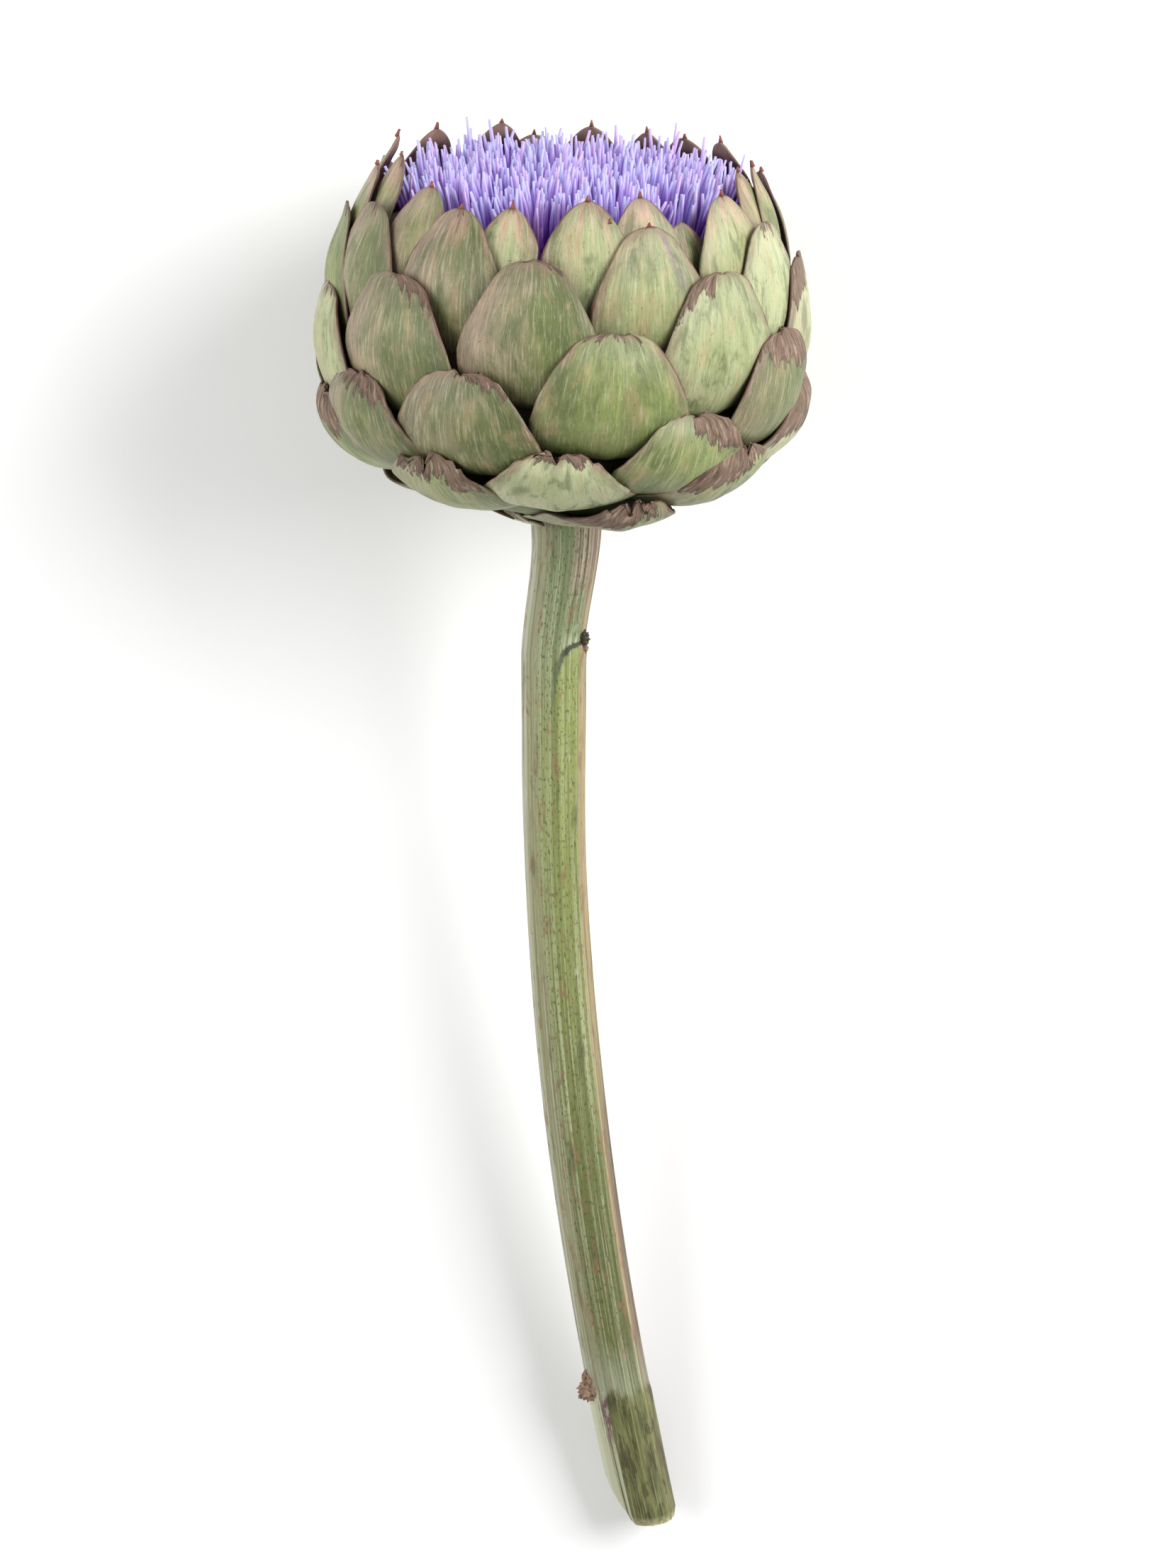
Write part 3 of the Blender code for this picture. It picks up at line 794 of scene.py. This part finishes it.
def makeHeart():
    deselectAll()
    bpy.ops.mesh.primitive_uv_sphere_add(segments=heart["segments"], ring_count=heart["rings"], radius=1)
    core = bpy.context.object
    rimDistance = distanceToHeight(heart["top"])
    fleshes = []
    for vert in core.data.vertices:
        share = math.acos(max(-1.0, min(1.0, -vert.co.z))) / math.pi
        around = Vector((vert.co.x, vert.co.y, 0))
        around = around.normalized() if around.length > 0.000001 else Vector((0, 0, 0))
        if share < heart["shell"]:
            distance = rimDistance * share / heart["shell"]
            point, normal = onOutline(distance)
            foot = 1 - smooth((distance - heart["footStart"]) / (heart["footEnd"] - heart["footStart"]))
            inner = point - normal * (heart["depth"] + (heart["footDepth"] - heart["depth"]) * foot)
            radius, height = max(inner.x, 0.0), inner.y - footDrop(inner.x)
        else:
            foot = 0.0
            inward = (share - heart["shell"]) / heart["cup"]
            point, normal = onOutline(rimDistance)
            edge = point - normal * heart["depth"]
            radius = edge.x * (1 - inward)
            height = edge.y + (heart["cupFloor"] - edge.y) * smooth(inward * 4)
        vert.co = layHead(around * radius + Vector((0, 0, height)))
        fleshes.append(foot)
    core.name = core.data.name = "heart"
    setValues(core, {"flesh": fleshes})
    bpy.ops.object.shade_smooth()
    paint = Paint("heart", 0.85)
    cloud = paint.noise(paint.objectPlace(), (120, 120, 120))
    # painted shade where the heart shows between the bracts
    dark = paint.mix(cloud, *heart["dark"])
    flesh = paint.mix(cloud, *heart["flesh"])
    paint.cover(paint.mix(paint.value("flesh"), dark, flesh))
    core.data.materials.append(paint.material)
    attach(core, "root")
    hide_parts("bract_head")


makeHeart()
print("heart made")

# florets: a dense tuft that fills the cup

tuft = {
    "count": 1050,
    "rootRadius": 0.0430,
    "rootHeight": 0.075,
    "tipRadius": 0.0466,
    "tipHeight": 0.0955,
    "crown": 0.0015,
    "strandRadius": 0.00060,
    "sides": 5,
    "rings": 6,
    # each strand narrows by this share, from and over these shares of its length
    "taper": 0.45,
    "taperFrom": 0.72,
    "taperOver": 0.28,
    # the outermost strands lean out by this much
    "edgeFrom": 0.8,
    "edgeOver": 0.2,
    "edgeSpread": 0.003,
    "lean": 0.0040,
    "leanPitch": 110,
    "jitter": 0.0008,
    "sway": 0.0008,
    "heightSpread": 0.0016,
    "swell": 0.003,
    # the share that stands out above the rest, how far, and how far aside
    "strays": 0.045,
    "strayReach": (0.003, 0.008),
    "strayJitter": 0.0015,
    # the purple low on the strands is partly painted shade and reflected violet deep in the tuft
    "purple": srgb(132, 52, 190),
    "lilac": srgb(176, 146, 226),
    "paleTip": srgb(192, 184, 232),
    "pink": srgb(224, 168, 228),
    "blue": srgb(190, 198, 248),
}


def makeFlorets():
    deselectAll()
    bpy.ops.mesh.primitive_cylinder_add(vertices=tuft["sides"], radius=1, depth=2, end_fill_type="TRIFAN")
    model = bpy.context.object
    bpy.ops.object.mode_set(mode="EDIT")
    for ring in range(1, tuft["rings"]):
        height = -1 + 2 * ring / tuft["rings"]
        bpy.ops.mesh.select_all(action="SELECT")
        bpy.ops.mesh.bisect(plane_co=(0, 0, height), plane_no=(0, 0, 1))
    bpy.ops.object.mode_set(mode="OBJECT")
    shape = [vert.co.copy() for vert in model.data.vertices]
    faces = [tuple(face.vertices) for face in model.data.polygons]
    bpy.data.objects.remove(model)

    points, polygons, alongs, seeds = [], [], [], []
    chance = random.Random(71)
    for number in range(tuft["count"]):
        share = math.sqrt((number + 0.5) / tuft["count"])
        angle = number * bractRule["goldenAngle"] + chance.uniform(-0.05, 0.05)
        outward = Vector((math.cos(angle), math.sin(angle), 0))
        root = outward * tuft["rootRadius"] * share
        root.z = tuft["rootHeight"]
        tip = outward * tuft["tipRadius"] * share
        edge = smooth((share - tuft["edgeFrom"]) / tuft["edgeOver"])
        tip += outward * tuft["edgeSpread"] * edge * chance.uniform(-0.4, 1.3)
        # neighbours lean the same way, and each a little its own way
        near = root * tuft["leanPitch"]
        tip += Vector((noise.noise(near), noise.noise(near + Vector((40, 0, 0))), 0)) * tuft["lean"]
        tip += Vector((chance.gauss(0, 1), chance.gauss(0, 1), 0)) * tuft["jitter"]
        tip.z = tuft["tipHeight"] + tuft["crown"] * (1 - share ** 2) + chance.gauss(0, tuft["heightSpread"])
        tip.z += tuft["swell"] * noise.noise(near * 1.4 + Vector((0, 0, 9)))
        if chance.random() < tuft["strays"]:
            tip.z += chance.uniform(*tuft["strayReach"])
            tip += Vector((chance.gauss(0, 1), chance.gauss(0, 1), 0)) * tuft["strayJitter"]
        line = tip - root
        turn = line.to_track_quat("Z", "Y").to_matrix()
        sway = Vector((chance.gauss(0, 1), chance.gauss(0, 1), 0)) * tuft["sway"]
        size = tuft["strandRadius"] * chance.uniform(0.8, 1.2)
        seed = chance.random()
        first = len(points)
        for corner in shape:
            along = (corner.z + 1) / 2
            taper = size * (1.0 - tuft["taper"] * smooth((along - tuft["taperFrom"]) / tuft["taperOver"]))
            offset = turn @ Vector((corner.x * taper, corner.y * taper, 0))
            point = root + line * along + sway * math.sin(math.pi * along) + offset
            points.append(layHead(point))
            alongs.append(along)
            seeds.append(seed)
        polygons += [tuple(first + corner for corner in face) for face in faces]
    mesh = bpy.data.meshes.new("floret_tuft")
    mesh.from_pydata(points, [], polygons)
    strands = bpy.data.objects.new("floret_tuft", mesh)
    bpy.context.scene.collection.objects.link(strands)
    setValues(strands, {"along": alongs, "seed": seeds})
    selectOnly(strands)
    bpy.ops.object.shade_smooth()

    paint = Paint("floret", 0.55)
    along = paint.value("along")
    seed = paint.value("seed")
    # deep purple low on each strand, lilac higher and pale at the tip: partly the florets' own colour,
    # partly painted shade and reflected violet deep in the tuft
    colour = paint.mix(paint.between(along, 0.40, 0.82), tuft["purple"], tuft["lilac"])
    colour = paint.over(colour, tuft["paleTip"], along, 0.72, 1.0)
    colour = paint.over(colour, tuft["pink"], seed, 0.45, 0.0, 0.0, 0.42)
    colour = paint.over(colour, tuft["blue"], seed, 0.50, 1.0, 0.0, 0.50)
    paint.cover(colour)
    strands.data.materials.append(paint.material)
    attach(strands, "root")
    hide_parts("florets")
    print("florets made,", len(mesh.polygons), "faces")


makeFlorets()

# the tuft's base, seen only between the strands, where its deep violet is painted shade deep in the tuft
floretBed = {
    "radius": 0.0455,
    "height": 0.0775,
    "halfThickness": 0.0045,
    # both colours are painted shade deep between the strands
    "dark": srgb(70, 28, 120),
    "light": srgb(128, 60, 190),
}


def makeFloretBed():
    deselectAll()
    bpy.ops.mesh.primitive_uv_sphere_add(segments=48, ring_count=16, radius=1)
    bed = bpy.context.object
    for vert in bed.data.vertices:
        spot = (vert.co.x * floretBed["radius"], vert.co.y * floretBed["radius"])
        vert.co = layHead((*spot, floretBed["height"] + floretBed["halfThickness"] * vert.co.z))
    bed.name = bed.data.name = "floret_bed"
    bpy.ops.object.shade_smooth()
    material = grainMaterial("floret_bed", 0.8, (900, 900, 900), floretBed["dark"], floretBed["light"])
    bed.data.materials.append(material)
    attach(bed, "root")
    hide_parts("florets")


makeFloretBed()

# stem

stemShape = {
    "length": 0.310,
    "intoHead": 0.006,
    "radius": 0.0091,
    "bendStart": 0.070,
    "bendReach": 0.0275,
    "bendPower": 1.9,
    "topAside": 0.0008,
    "backSway": 0.0040,
    "swayFrom": 0.006,
    "swayOver": 0.040,
    # shares of the radius: its slimmest, the flare under and inside the head, and the swelling lower down
    "slimmest": 0.965,
    "flare": 0.17,
    "flareReach": 0.020,
    "innerFlare": 0.10,
    "swelling": 0.05,
    "swellingFrom": 0.09,
    "swellingOver": 0.1,
    "sides": 120,
    "stations": 440,
    # degrees round the stem, height in millimetres and spread in degrees of each long ridge
    "ridges": (
        (-78, 0.30, 5), (-56, 0.40, 6), (-34, 0.20, 4), (-8, 0.16, 4), (12, 0.26, 5), (29, 0.18, 4),
        (46, 0.24, 5), (64, 0.24, 4), (86, 0.30, 5), (112, 0.3, 6), (139, 0.26, 5), (165, 0.3, 5),
        (190, 0.26, 6), (216, 0.3, 5), (245, 0.28, 5), (268, 0.26, 5),
    ),
    "ground": -0.00025,
    "grain": 0.00018,
    "oldScarDown": 0.2670,
    "oldScarStep": 0.0003,
    "oldScarWander": ((0.0030, 0.03, 3), (0.0014, 0.2, 8)),
    "cutRound": 0.0022,
    "cutSlant": 0.0052,
    "cutSlantReach": 0.014,
    # stretches the fibre map round the stem, in millimetres a radian
    "fibreRadius": 9.0,
}

# the arched scar of a lost leaf and the panel that its base leaves below it
leafScar = {
    "down": 0.0385,
    "angle": 58,
    "halfWidth": 58,
    "arch": 0.0145,
    "slope": 6.0,
    "panelHeight": 0.0007,
    "panelStep": 0.0012,
    # where each fades: metres down the stem, and shares of the half width
    "panelFrom": 0.05,
    "panelOver": 0.07,
    "panelSide": 0.8,
    "panelSideOver": 0.3,
    "scarSide": 0.85,
    "scarSideOver": 0.35,
    "groove": 0.0003,
    "grooveSpread": 0.0007,
}


def stemOffset(down):
    share = max(0.0, (down - stemShape["bendStart"]) / (stemShape["length"] - stemShape["bendStart"]))
    swayed = smooth((down - stemShape["swayFrom"]) / stemShape["swayOver"])
    sway = stemShape["topAside"] - stemShape["backSway"] * swayed
    return stemShape["bendReach"] * share ** stemShape["bendPower"] + sway


def stemWidth(down):
    flare = stemShape["flare"] * math.exp(-max(down, 0) / stemShape["flareReach"])
    flare += stemShape["innerFlare"] * smooth(-down / stemShape["intoHead"])
    swelling = stemShape["swelling"] * smooth((down - stemShape["swellingFrom"]) / stemShape["swellingOver"])
    return stemShape["radius"] * (stemShape["slimmest"] + flare + swelling)


def turnGap(first, second):
    return (first - second + 180) % 360 - 180


def makeStem():
    deselectAll()
    sides, stations = stemShape["sides"], stemShape["stations"]
    bpy.ops.mesh.primitive_cylinder_add(vertices=sides, radius=1, depth=2, end_fill_type="TRIFAN")
    stem = bpy.context.object
    bpy.ops.object.mode_set(mode="EDIT")
    bpy.ops.mesh.select_mode(type="EDGE")
    bpy.ops.mesh.select_all(action="DESELECT")
    bpy.ops.object.mode_set(mode="OBJECT")
    # the long edges are cut into stations
    for edge in stem.data.edges:
        ends = [stem.data.vertices[number].co.z for number in edge.vertices]
        edge.select = abs(ends[0] - ends[1]) > 1
    bpy.ops.object.mode_set(mode="EDIT")
    bpy.ops.mesh.subdivide(number_cuts=stations - 1)
    bpy.ops.mesh.select_mode(type="VERT")
    bpy.ops.object.mode_set(mode="OBJECT")
    places, arches, archGaps, zones, cuts = [], [], [], [], []
    for vert in stem.data.vertices:
        down = (stemShape["length"] + stemShape["intoHead"]) * (1 - vert.co.z) / 2 - stemShape["intoHead"]
        angle = math.degrees(math.atan2(vert.co.x, -vert.co.y))
        spoke = math.hypot(vert.co.x, vert.co.y)
        width = stemWidth(down)
        relief = stemShape["ground"]
        for where, height, spread in stemShape["ridges"]:
            gap = turnGap(angle, where + 3 * noise.noise(Vector((where * 0.37, down * 9, 0))))
            relief += height * 0.001 * math.exp(-(gap / spread) ** 2)
        relief += stemShape["grain"] * noise.noise(Vector((angle * 0.25, down * 20, 1)))
        # the base of a lost leaf runs down from its scar
        gap = turnGap(angle, leafScar["angle"]) / leafScar["halfWidth"]
        below = down - leafScar["down"] - leafScar["arch"] * gap ** 4
        slope = leafScar["slope"] * gap ** 3
        below /= math.sqrt(1 + slope * slope)
        panel = smooth(below / leafScar["panelStep"])
        panel *= 1 - smooth((down - leafScar["panelFrom"]) / leafScar["panelOver"])
        panel *= 1 - smooth((abs(gap) - leafScar["panelSide"]) / leafScar["panelSideOver"])
        relief += leafScar["panelHeight"] * panel
        scar = math.exp(-((below + leafScar["groove"]) / leafScar["grooveSpread"]) ** 2)
        scar *= 1 - smooth((abs(gap) - leafScar["scarSide"]) / leafScar["scarSideOver"])
        relief -= leafScar["groove"] * scar
        wander = 0.0
        for height, pitch, apart in stemShape["oldScarWander"]:
            wander += height * noise.noise(Vector((angle * pitch, apart, 0)))
        oldBelow = down - stemShape["oldScarDown"] - wander
        relief += stemShape["oldScarStep"] * smooth(oldBelow / 0.002) * (1 - smooth(oldBelow / 0.05))
        # the cut end, with a rounded rim, slanting off on its left
        fromEnd = stemShape["length"] - down
        if fromEnd < stemShape["cutRound"]:
            width *= 1 - 0.10 * (1 - math.sqrt(1 - (1 - fromEnd / stemShape["cutRound"]) ** 2))
        reach = spoke * (width + relief)
        leftness = -math.sin(math.radians(angle)) * spoke
        slant = stemShape["cutSlant"] * smooth(leftness * 1.5 - 0.52)
        slant *= 1 - smooth(fromEnd / stemShape["cutSlantReach"])
        side = Vector((math.sin(math.radians(angle)), -math.cos(math.radians(angle)), 0))
        vert.co = layDown(side * reach + Vector((stemOffset(down), 0, -0.0003 - down + slant)))
        places.append((math.radians(angle) * stemShape["fibreRadius"], down * 1000))
        arches.append(max(-30.0, below * 1000))
        archGaps.append(min(3.0, abs(gap)))
        zones.append(oldBelow * 1000)
        cuts.append(1.0 if fromEnd < 0.00001 else 0.0)
    turns = [place[0] / stemShape["fibreRadius"] for place in places]
    setValues(stem, {"arch": arches, "archGap": archGaps, "oldBelow": zones, "cut": cuts, "turn": turns})
    setFibreMap(stem, places)
    faceOutwards()
    bpy.ops.object.shade_smooth_by_angle(angle=math.radians(50))
    stem.name = stem.data.name = "cut_stem"
    return stem


stemColours = {
    "underHead": srgb(118, 130, 92),
    "yellowGreen": srgb(130, 138, 76),
    "panel": srgb(140, 150, 80),
    "lowGreen": srgb(92, 98, 48),
    "paleRib": srgb(166, 172, 132),
    "darkRib": srgb(84, 94, 54),
    "tanGrey": srgb(150, 146, 116),
    "paintedRimLight": srgb(176, 176, 160),
    "tan": srgb(166, 138, 108),
    "purpleBrown": srgb(92, 72, 66),
    "driedDark": srgb(122, 94, 86),
    "driedLight": srgb(178, 164, 138),
    "paleLine": srgb(182, 184, 150),
    "darkLine": srgb(78, 84, 46),
    "paleHair": srgb(190, 190, 160),
    "darkHair": srgb(80, 84, 48),
    "stain": srgb(78, 82, 44),
    "rust": srgb(134, 96, 72),
    "bloom": srgb(174, 178, 150),
    "darkSpeck": srgb(62, 70, 36),
    "rustSpot": srgb(128, 84, 66),
    "aboveOldScar": srgb(162, 166, 142),
    "belowOldScar": srgb(190, 194, 164),
    "stainedLight": srgb(112, 114, 68),
    "stainedDark": srgb(72, 72, 34),
    "stainedLine": srgb(146, 148, 100),
    "stainedSmear": srgb(54, 52, 24),
    "stainedPaleHair": srgb(150, 150, 104),
    "stainedDarkHair": srgb(50, 50, 24),
    "purpleStreak": srgb(106, 76, 78),
    "aboveScar": srgb(180, 186, 154),
    "scar": srgb(48, 52, 38),
    "pithDark": srgb(146, 142, 98),
    "pith": srgb(192, 188, 152),
}


def stemMaterial():
    colour = stemColours
    paint = Paint("stem_skin", 0.6)
    place = paint.fibreMap()
    split = paint.nodes.new("ShaderNodeSeparateXYZ")
    paint.plug(split.inputs["Vector"], place)
    down = split.outputs["Y"]
    turn = paint.value("turn")
    ribs = paint.noise(place, (0.60, 0.0035, 1.0), detail=2.0)
    line = paint.noise(place, (1.7, 0.010, 1.0), detail=2.0)
    hair = paint.noise(place, (3.2, 0.08, 1.0), detail=3.0, roughness=0.65)
    stain = paint.noise(place, (0.22, 0.035, 3.0), detail=5.0, roughness=0.65)
    smear = paint.noise(place, (0.35, 0.11, 5.0), detail=4.0, roughness=0.6, distortion=0.6)
    specks = paint.noise(place, (1.6, 0.55, 2.0), detail=4.0, roughness=0.65)
    spots = paint.noise(place, (0.8, 0.30, 7.0), detail=3.0, roughness=0.6)

    # blue green under the head, then yellow green, then darker towards the cut
    skin = paint.mix(paint.between(down, 34.0, 70.0), colour["underHead"], colour["yellowGreen"])
    arch = paint.sum(paint.value("arch"), paint.swing(smear, 3.0))
    archSide = paint.value("archGap")
    panel = paint.both((arch, 0.3, 0.9), (archSide, 1.1, 0.85))
    panel = paint.times(panel, paint.between(down, 120.0, 55.0))
    skin = paint.mix(paint.times(panel, 0.75), skin, colour["panel"])
    skin = paint.layers(skin, colour, (
        ("lowGreen", down, 110.0, 230.0),
        ("paleRib", ribs, 0.52, 0.66, 0.0, 0.6),
        ("darkRib", ribs, 0.46, 0.34, 0.0, 0.6),
    ))
    # tan and grey on the left, its edge whitened by a painted highlight of rim light, tan and then purple
    # brown on the right
    side = paint.sum(turn, paint.swing(ribs, 1.2))
    skin = paint.layers(skin, colour, (
        ("tanGrey", side, -0.30, -0.62, 0.0, 0.65),
        ("paintedRimLight", side, -0.85, -1.15, 0.0, 0.75),
        ("tan", side, 0.80, 1.05, 0.0, 0.7),
    ))
    purple = paint.both((turn, 1.02, 1.16), (down, 150.0, 200.0, 0.0, 0.9))
    skin = paint.mix(purple, skin, colour["purpleBrown"])
    # a dried patch under the head
    dried = paint.between(paint.sum(down, paint.times(smear, 14.0)), 38.0, 22.0)
    dried = paint.times(dried, paint.between(turn, 0.12, 0.36))
    husk = paint.mix(paint.between(line, 0.4, 0.6), colour["driedDark"], colour["driedLight"])
    skin = paint.mix(paint.times(dried, paint.between(stain, 0.34, 0.50, 0.35, 0.95)), skin, husk)
    # fibres, stains and specks
    skin = paint.layers(skin, colour, (
        ("paleLine", line, 0.53, 0.70, 0.0, 0.65),
        ("darkLine", line, 0.45, 0.30, 0.0, 0.65),
        ("paleHair", hair, 0.55, 0.80, 0.0, 0.5),
        ("darkHair", hair, 0.45, 0.20, 0.0, 0.5),
        ("stain", stain, 0.54, 0.68, 0.0, 0.7),
        ("rust", smear, 0.55, 0.66, 0.0, 0.6),
        ("bloom", smear, 0.36, 0.28, 0.0, 0.5),
    ))
    middle = paint.both((turn, -0.75, -0.45), (turn, 0.95, 0.70))
    dark = paint.times(paint.between(specks, 0.55, 0.62), paint.times(middle, 0.75))
    skin = paint.mix(dark, skin, colour["darkSpeck"])
    rusty = paint.times(paint.between(spots, 0.64, 0.70), paint.less(0.85, middle))
    skin = paint.mix(rusty, skin, colour["rustSpot"])
    # the old scar: pale above it, dark and stained below it
    oldBelow = paint.sum(paint.value("oldBelow"), paint.swing(hair, 3.0))
    oldBelow = paint.sum(oldBelow, paint.swing(smear, 12.0))
    # both fade towards the far side
    facing = paint.both((turn, -2.0, -1.2), (turn, 1.9, 1.2))
    pale = paint.both((oldBelow, -20.0, -3.0), (oldBelow, 2.5, -1.5))
    pale = paint.times(pale, paint.between(facing, 0.0, 1.0, 0.3, 1.0))
    pale = paint.times(pale, paint.between(line, 0.3, 0.6, 0.15, 0.65))
    skin = paint.mix(pale, skin, colour["aboveOldScar"])
    below = paint.both((oldBelow, -1.5, 2.5), (facing, 0.0, 1.0, 0.35, 1.0))
    leftBelow = paint.times(below, paint.between(side, -0.48, -0.66))
    skin = paint.mix(paint.times(leftBelow, 0.75), skin, colour["belowOldScar"])
    stained = paint.mix(paint.between(stain, 0.38, 0.60), colour["stainedLight"], colour["stainedDark"])
    stained = paint.layers(stained, colour, (
        ("stainedLine", line, 0.50, 0.64, 0.0, 0.45),
        ("stainedSmear", smear, 0.50, 0.60, 0.0, 0.85),
        ("stainedPaleHair", hair, 0.52, 0.70, 0.0, 0.7),
        ("stainedDarkHair", hair, 0.48, 0.30, 0.0, 0.7),
    ))
    rightBelow = paint.times(below, paint.between(side, -0.66, -0.48))
    skin = paint.mix(paint.times(rightBelow, 0.85), skin, stained)
    streak = paint.both((side, -0.72, -0.62), (side, -0.44, -0.56))
    streak = paint.times(paint.times(streak, below), paint.between(paint.value("oldBelow"), 22.0, 8.0))
    skin = paint.mix(paint.times(streak, paint.between(spots, 0.40, 0.55)), skin, colour["purpleStreak"])
    above = paint.both((arch, -5.0, -1.8), (arch, -0.9, -1.5))
    above = paint.times(above, paint.between(archSide, 1.1, 0.5))
    above = paint.times(above, paint.between(line, 0.42, 0.58, 0.1, 0.7))
    skin = paint.mix(above, skin, colour["aboveScar"])
    scar = paint.both((arch, -1.4, -0.8), (arch, 0.5, 0.1))
    scar = paint.times(scar, paint.between(archSide, 1.15, 0.5))
    skin = paint.mix(paint.times(scar, 0.9), skin, colour["scar"])
    grain = paint.noise(paint.objectPlace(), (700, 700, 700))
    pith = paint.mix(paint.between(grain, 0.35, 0.65), colour["pithDark"], colour["pith"])
    skin = paint.mix(paint.value("cut"), skin, pith)
    paint.cover(skin)
    paint.bump(paint.sum(paint.times(hair, 0.5), line), 0.5, 0.0004)
    return paint.material


# what is left of each leaf where it was cut off: how far below the head, degrees round the stem,
# size and finish
leafStubs = (
    ("upper_knob", 0.0368, 66, 0.0016, "leaf_knob"),
    ("upper_stub", 0.0404, 74, 0.0012, "leaf_stub"),
    ("lower_stub", 0.2668, -66, 0.0031, "leaf_stub"),
)
# shares of a stub's size, and the height, pitch and place of each layer of its rough surface
stubShape = {
    "sink": 0.1,
    "breadth": 0.8,
    "height": 1.3,
    "roughness": ((0.5, 2.2, 0, 0), (0.4, 5.5, 9, 0), (0.2, 13, 5, 3)),
}


def makeStub(name, down, degrees, size):
    chance = random.Random(name)
    deselectAll()
    bpy.ops.mesh.primitive_ico_sphere_add(subdivisions=5, radius=1)
    stub = bpy.context.object
    angle = math.radians(degrees)
    outward = Vector((math.sin(angle), -math.cos(angle), 0))
    across = Vector((math.cos(angle), math.sin(angle), 0))
    middle = outward * (stemWidth(down) - size * stubShape["sink"]) + Vector((stemOffset(down), 0, -down))
    shift = chance.uniform(0, 50)
    for vert in stub.data.vertices:
        rough = 1
        for height, pitch, y, z in stubShape["roughness"]:
            rough += height * noise.noise(vert.co * pitch + Vector((shift, y, z)))
        body = vert.co * rough
        point = middle + outward * body.x * size + across * body.y * size * stubShape["breadth"]
        vert.co = layDown(point + Vector((0, 0, 1)) * body.z * size * stubShape["height"])
    stub.name = stub.data.name = name
    faceOutwards()
    bpy.ops.object.shade_smooth()
    return stub


stem = makeStem()
stem.data.materials.append(stemMaterial())
stubMaterials = {
    "leaf_stub": grainMaterial("leaf_stub", 0.85, (900, 500, 900), srgb(88, 62, 50), srgb(180, 152, 126)),
    "leaf_knob": grainMaterial("leaf_knob", 0.7, (500, 300, 500), srgb(40, 44, 34), srgb(84, 82, 60)),
}
stubs = []
for name, down, degrees, size, finish in leafStubs:
    stubs.append(makeStub(name, down, degrees, size))
    stubs[-1].data.materials.append(stubMaterials[finish])
for piece in [stem] + stubs:
    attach(piece, "root")
    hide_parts("stem")
print("stem made,", len(stem.data.polygons), "faces")

# table, lights and camera

studio = {
    "floorSize": 8,
    "floorPlace": (0, -0.15, -0.0002),
    "floorColour": (0.93, 0.93, 0.93, 1.0),
    "worldColour": (1.0, 1.0, 1.0, 1.0),
    "worldStrength": 0.38,
    "aim": Vector((0, -0.08, 0.05)),
    "lamps": {
        "key": {"place": (1.30, 0.55, 1.10), "size": 1.3, "power": 42.0},
        "fill": {"place": (-1.20, 0.10, 0.90), "size": 1.2, "power": 16.0},
    },
}

deselectAll()
bpy.ops.mesh.primitive_plane_add(size=studio["floorSize"], location=studio["floorPlace"])
floor = bpy.context.object
floor.name = "floor"
floorPaint = Paint("floor", 0.9)
floorPaint.shader.inputs["Base Color"].default_value = studio["floorColour"]
floorPaint.shader.inputs["Specular IOR Level"].default_value = 0.0
floor.data.materials.append(floorPaint.material)

world = bpy.data.worlds.new("studio")
bpy.context.scene.world = world
world.use_nodes = True
background = world.node_tree.nodes["Background"]
background.inputs["Color"].default_value = studio["worldColour"]
background.inputs["Strength"].default_value = studio["worldStrength"]

for name, lamp in studio["lamps"].items():
    light = bpy.data.lights.new(name, "AREA")
    light.size = lamp["size"]
    light.energy = lamp["power"]
    lightObject = bpy.data.objects.new(name, light)
    lightObject.location = lamp["place"]
    lightObject.rotation_euler = (studio["aim"] - lightObject.location).to_track_quat("-Z", "Y").to_euler()
    bpy.context.scene.collection.objects.link(lightObject)

photoView = {
    "size": (1659, 2212),
    "pixelsPerMetre": 5030,
    "headBasePixel": (795, 715),
    "distance": 1.5,
    "aboveHeadAxis": math.radians(17.8),
    "sensor": 36,
}
tilt = photoView["aboveHeadAxis"] - (math.radians(90) - lyingPlace["leanBack"])
back = Vector((0, math.sin(tilt), math.cos(tilt)))
up = Vector((0, math.cos(tilt), -math.sin(tilt)))
metresPerPixel = 1 / photoView["pixelsPerMetre"]
aside = (photoView["size"][0] / 2 - photoView["headBasePixel"][0]) * metresPerPixel
lower = (photoView["size"][1] / 2 - photoView["headBasePixel"][1]) * metresPerPixel
looksAt = lyingPlace["headBase"] + Vector((1, 0, 0)) * aside - up * lower
camera = bpy.data.cameras.new("camera")
camera.sensor_width = photoView["sensor"]
camera.lens = photoView["sensor"] * photoView["distance"] / (photoView["size"][1] * metresPerPixel)
cameraObject = bpy.data.objects.new("camera", camera)
cameraObject.location = looksAt + back * photoView["distance"]
cameraObject.rotation_euler = Matrix(((1, 0, 0), up, back)).transposed().to_euler()
bpy.context.scene.collection.objects.link(cameraObject)
bpy.context.scene.camera = cameraObject
bpy.context.scene.view_settings.view_transform = "Standard"
print("camera, lights and table set")
